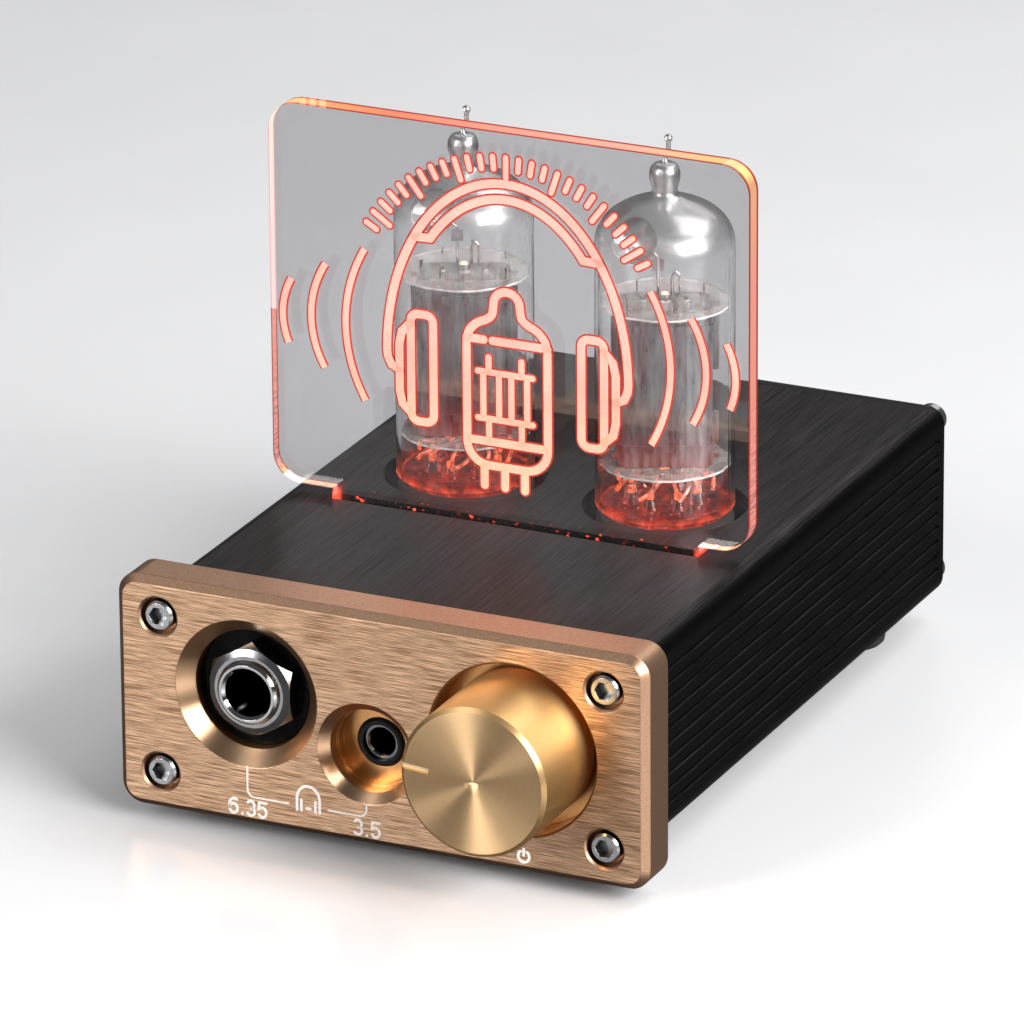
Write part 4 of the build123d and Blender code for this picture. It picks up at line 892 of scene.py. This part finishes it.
def valve_bottle():
    """The outline of a valve: a bottle with a tip, mica lines and three legs."""
    half, foot, corner = 5.9, 7.3, 3.2
    bottom = arc((half - corner, foot + corner), corner, corner, 270, 360, 8)
    shoulder = curve_through([(half, 24.4), (5.5, 26.0), (4.4, 27.2), (3.0, 27.9), (2.15, 28.7), (1.9, 30.3)])
    right = bottom + shoulder + arc((0, 30.3), 1.9, 1.8, 0, 90, 6)[1:]
    strokes = [(right + mirrored(right[:-1]), "joined")]
    strokes += [
        ([(-half, 25.0), (-3.4, 25.0)], "round"),
        ([(-2.1, 25.0), (half, 25.0)], "round"),
        ([(-half, 10.7), (half, 10.7)], "square"),
    ]
    strokes += [([(x, foot - 0.2), (x, 4.4)], "round") for x in (-3.4, -0.4, 2.5)]
    return strokes


def valve_ladder():
    """The electrodes in the bottle: two bars with uprights between, above and below them."""
    low, high, mica = 13.9, 20.5, 10.7
    strokes = [([(-4.3, z), (3.7, z)], "round") for z in (low, high)]
    strokes += [([(x, mica), (x, low)], "square") for x in (-2.7, 2.1)]
    strokes += [([(x, high), (x, 22.6)], "round") for x in (-2.7, 2.1)]
    strokes += [([(x, low), (x, high)], "square") for x in (-3.5, -1.2, 0.6, 2.9)]
    return strokes


def sound_waves():
    """Three arcs on each side, smaller further out."""
    arcs = (
        ((20.8, 35.2), (23.7, 24.4), (20.9, 13.8)),
        ((26.6, 32.3), (28.8, 24.9), (26.9, 17.6)),
        ((31.7, 29.5), (33.0, 25.1), (32.2, 20.4)),
    )
    lines = [arc_through(*places) for places in arcs]
    return [(flip(line), "square") for line in lines for flip in (list, mirrored)]


def scale_ticks():
    """A plain arc of tick marks over the headband, every fourth one longer."""
    middle_z, reach, spread, count = 27.3, 23.6, 60.0, 27
    strokes = []
    for index in range(count):
        degrees = 90 + spread - 2 * spread * index / (count - 1)
        length = 2.9 if index % 4 == 1 else 1.7
        outward = Vector((math.cos(math.radians(degrees)), math.sin(math.radians(degrees))))
        tick = [Vector((0, middle_z)) + outward * radius for radius in (reach - length, reach)]
        strokes.append((tick, "round"))
    return strokes


def plate_engravings(light, fringe):
    """Each engraving is a lit stroke in front of a wider, darker one, which is the glow round it."""
    art = {
        "plate_headphones": (big_headphones(), ART_LINE),
        "plate_valve_bottle": (valve_bottle(), ART_LINE),
        "plate_valve_ladder": (valve_ladder(), ART_LINE * 0.75),
        "plate_waves": (sound_waves(), ART_LINE * 0.76),
        "plate_ticks": (scale_ticks(), ART_LINE * 0.66),
    }
    for name, (strokes, width) in art.items():
        placed = [([(ART_MIDDLE + x, ART_BASE + z) for x, z in points], ends) for points, ends in strokes]
        lit = [ribbon(points, width, ART_FRONT, ART_BACK, ends) for points, ends in placed]
        make_piece(name, "plate", lit, light)
        wide = width + FRINGE_SPREAD
        around = [ribbon(points, wide, FRINGE_FRONT, FRINGE_BACK, ends) for points, ends in placed]
        make_piece(f"{name}_fringe", "plate", around, fringe)


# ---- small wires inside the valves ----


def on_valve(side, radius, degrees, z):
    """A point inside a valve, by its distance and direction from the valve's axis."""
    angle = math.radians(degrees)
    return Vector((VALVE_X[side] + radius * math.cos(angle), VALVE_Y + radius * math.sin(angle), z))


def valve_wires(side, wire_metal):
    """Bent connecting wires over the glass base, and the ends that stand on the upper mica."""
    dice = random.Random(f"{side} wires")
    base, floor = [], BUTTON_TOP
    for index in range(8):
        start = 45 * index + dice.uniform(-10, 10)
        turn = dice.uniform(45, 95)
        points = [
            on_valve(side, 6.6, start, floor + 0.3),
            on_valve(side, 6.2, start + turn * 0.2, floor + dice.uniform(1.4, 2.4)),
            on_valve(side, dice.uniform(3.0, 4.2), start + turn * 0.5, floor + dice.uniform(2.4, 3.4)),
            on_valve(side, 3.4, start + turn, MICA_LOW.z - 0.2),
        ]
        base.append(rod(curve_through(points), 0.29))
    make_piece(f"{side}_base_wires", f"{side}_valve", base, wire_metal, smooth=True)
    stubs = []
    for index in range(7):
        radius, degrees = dice.uniform(4.6, 7.4), 51 * index + dice.uniform(-14, 14)
        height = dice.uniform(0.8, 2.0)
        ends = [on_valve(side, radius, degrees, MICA_HIGH.z + z) for z in (-0.05, height)]
        stubs.append(rod(ends, dice.uniform(0.13, 0.22)))
    make_piece(f"{side}_mica_stubs", f"{side}_valve", stubs, wire_metal, smooth=True)


# ---- stage, light and camera ----


def look_at(thing, target):
    """Turns a lamp towards a place."""
    thing.rotation_mode = "QUATERNION"
    thing.rotation_quaternion = (Vector(target) - thing.location).to_track_quat("-Z", "Y")


def softbox(name, place, target, size, power):
    """A rectangular lamp; place, target and size are in metres."""
    data = bpy.data.lights.new(name, "AREA")
    data.shape = "RECTANGLE"
    data.size, data.size_y = size
    data.energy = power
    lamp = add_object(name, data)
    lamp.location = place
    look_at(lamp, target)


def small_lamp(name, place, radius, power, colour):
    """A small round lamp that isn't seen itself; place and radius are in millimetres."""
    data = bpy.data.lights.new(name, "POINT")
    data.shadow_soft_size = radius * MM
    data.energy = power
    data.color = colour
    lamp = add_object(name, data)
    lamp.location = Vector(place) * MM
    lamp.visible_camera = False
    lamp.visible_glossy = False
    lamp.visible_transmission = False


def floor_finish():
    """Pale floor. Mirrors and clear parts see it darker than the camera does, so that they keep contrast."""
    graph = Graph("floor_pale")
    grain = graph.noise(graph.mm, 0.02, 4.0)
    pale = graph.blend(grain, (0.74, 0.74, 0.75), (0.78, 0.78, 0.785))
    path = graph.node("ShaderNodeLightPath").outputs
    mirrored = graph.blend(path["Is Transmission Ray"], (0.09, 0.085, 0.085), (0.42, 0.42, 0.43))
    shader = graph.principled(
        Base_Color=graph.blend(path["Is Glossy Ray"], pale, mirrored),
        Roughness=graph.remap(grain, 0.3, 0.7, 0.2, 0.26),
        Specular_IOR_Level=0.35,
    )
    return graph.done(shader)


def stage_floor():
    """The floor under the amplifier, which isn't part of it."""
    half = 4.0
    mesh = bpy.data.meshes.new("floor")
    corners = [(-half, -half, 0), (half, -half, 0), (half, half, 0), (-half, half, 0)]
    mesh.from_pydata(corners, [], [(0, 1, 2, 3)])
    mesh.materials.append(floor_finish())
    add_object("floor", mesh)


def studio_lights():
    """Key light on the right, a tall softbox front left, one overhead and one low behind."""
    centre = (0.0, 0.0, 0.045)
    softbox("key_right", (0.92, -0.32, 0.54), centre, (0.8, 0.65), 22.0)
    softbox("front_left", (-0.62, -1.0, 0.55), centre, (0.45, 0.85), 8.6)
    softbox("overhead", (0.44, 0.37, 0.95), centre, (0.85, 0.7), 6.0)
    softbox("behind", (-0.15, 1.05, 0.75), centre, (1.0, 0.4), 1.4)
    world = bpy.data.worlds.new("studio")
    world.use_nodes = True
    world.node_tree.nodes["Background"].inputs["Color"].default_value = (0.75, 0.77, 0.80, 1.0)
    world.node_tree.nodes["Background"].inputs["Strength"].default_value = 0.12
    bpy.context.scene.world = world


# Where light spills past the tongue, from -1 at its left end to 1 at its right end.
SPILLS = (-0.9, 0.1, 0.95)


def object_lamps():
    """The red light that the amplifier's own lamps throw into the valves and past the plate's tongue."""
    red = (1.0, 0.06, 0.02)
    for side in SIDES:
        small_lamp(f"lamp_{side}", (VALVE_X[side], VALVE_Y, BUTTON_TOP + 0.6), 1.2, 0.009, red)
    for index, across in enumerate(SPILLS):
        place = (TONGUE_MIDDLE + across * TONGUE_HALF, PLATE_LOW.y - 1.2, CASE_TOP + 0.9)
        small_lamp(f"spill_{index}", place, 0.5, 0.0006, red)


CAMERA_AIM = Vector((0.01927, PANEL_FACE * MM, 0.05211))
CAMERA_DISTANCE = 1.2177
CAMERA_YAW, CAMERA_PITCH, CAMERA_ROLL = (math.radians(angle) for angle in (25.05, -21.06, -0.4))
CAMERA_LENS = 334.6


def studio_camera():
    """A long lens from the front right, a little above."""
    forward = Vector((
        -math.sin(CAMERA_YAW) * math.cos(CAMERA_PITCH),
        math.cos(CAMERA_YAW) * math.cos(CAMERA_PITCH),
        math.sin(CAMERA_PITCH),
    ))
    level = Vector((math.cos(CAMERA_YAW), math.sin(CAMERA_YAW), 0))
    upright = level.cross(forward)
    right = level * math.cos(CAMERA_ROLL) + upright * math.sin(CAMERA_ROLL)
    up = upright * math.cos(CAMERA_ROLL) - level * math.sin(CAMERA_ROLL)
    data = bpy.data.cameras.new("camera")
    data.lens = CAMERA_LENS
    data.sensor_width = 36.0
    camera = add_object("camera", data)
    turn = Matrix((right, up, -forward)).transposed().to_4x4()
    camera.matrix_world = Matrix.Translation(CAMERA_AIM - forward * CAMERA_DISTANCE) @ turn
    data.clip_start, data.clip_end = 0.05, 20.0
    bpy.context.scene.camera = camera


# ---- the whole picture ----


def finish_nodes():
    """Gives every CAD node its finish."""
    chrome = metal("bright_metal", (0.50, 0.50, 0.51), 0.05, 0.03, 0.05)
    # The small jack's sleeve is the same chrome painted darker: painted shade in its recess.
    shaded_chrome = metal("shaded_sleeve_chrome", (0.20, 0.20, 0.205), 0.1, 0.03, 0.05)
    contact = metal("contact_metal", (0.66, 0.64, 0.60), 0.22)
    satin_chrome = metal("nut_metal", (0.42, 0.42, 0.43), 0.19, 0.06, 0.1)
    paint(black_anodised("case_black", 1), "case_sleeve")
    paint(black_anodised("rear_black", 0), "rear_panel")
    paint(champagne_panel(), "front_panel")
    paint(turned_gold(), "volume_knob")
    paint(metal("screw_steel", (0.55, 0.55, 0.56), 0.22), "front_screws", "rear_screws", "knob_set_screw")
    paint(moulded("foot_rubber", (0.012, 0.012, 0.012), 0.6, 0.05), "rubber_feet")
    paint(circuit_board(), "main_board", "valve_board")
    paint(metal("brass", (0.72, 0.50, 0.22), 0.18), "board_spacers", "pot_bushing", "phono_centres")
    black_plastic = moulded("black_plastic", (0.006, 0.006, 0.0065), 0.22, shine=0.2)
    paint(black_plastic, "header_housing", "pot_body", "amplifier_chips", "phono_housing", "power_inlet")
    paint(black_plastic, "big_jack_body", "small_jack_body")
    paint(moulded("washer_black", (0.001, 0.001, 0.001), 0.1, 0.005, shine=0.04), "big_jack_washer")
    paint(contact, "header_pins", "pot_terminals", "big_jack_contacts", "small_jack_contact")
    paint(contact, *both("socket_contacts"))
    wires = lit_wires()
    paint(wires, *both("valve_pins"))
    paint(chrome, "pot_shaft", "pot_nut", "big_jack_bushing", "phono_shells", "power_pin")
    paint(satin_chrome, "big_jack_nut")
    paint(shaded_chrome, "small_jack_sleeve")
    paint(red_lamp(), "valve_lamps", "slot_lamps")
    paint(lit_acrylic(), "light_plate")
    paint(moulded("phono_insert", (0.62, 0.58, 0.50), 0.4), "phono_insulators")
    paint(moulded("capacitor_sleeve", (0.012, 0.016, 0.05), 0.25, 0.01, 1.5, 0.4), "electrolytic_capacitors")
    paint(moulded("film_capacitor_red", (0.32, 0.03, 0.02), 0.3, 0.03, 1.5, 0.2), "film_capacitors")
    paint(moulded("socket_black", (0.016, 0.012, 0.011), 0.45, 0.03, 2.5), *both("socket"))
    paint(valve_glass("clear_glass", 0.42, 0.3), *both("valve_bulb"))
    paint(valve_glass("button_glass", 0.0, 0.0), *both("valve_button"))
    paint(split_mica(), *both("valve_micas"))
    paint(carbonised_anode(), *both("valve_anode"))
    paint(metal("grid_metal", (0.58, 0.55, 0.50), 0.25), *both("valve_grid"))
    paint(metal("cathode_nickel", (0.62, 0.60, 0.56), 0.3), *both("valve_cathode"))
    paint(glowing_heater(), *both("valve_heater"))
    paint(metal("getter_silver", (0.66, 0.65, 0.64), 0.12), *both("valve_getter"))
    for side in SIDES:
        valve_wires(side, wires)


finish_nodes()
panel_prints(printed_ink())
plate_engravings(
    engraved_light("engraving_light", (1.0, 0.46, 0.37), (1.0, 0.58, 0.36), 0.9),
    engraved_light("engraving_fringe", (0.90, 0.06, 0.035), (0.90, 0.08, 0.03), 0.3),
)
stage_floor()
studio_lights()
object_lamps()
studio_camera()
bpy.context.scene.view_settings.view_transform = "Standard"
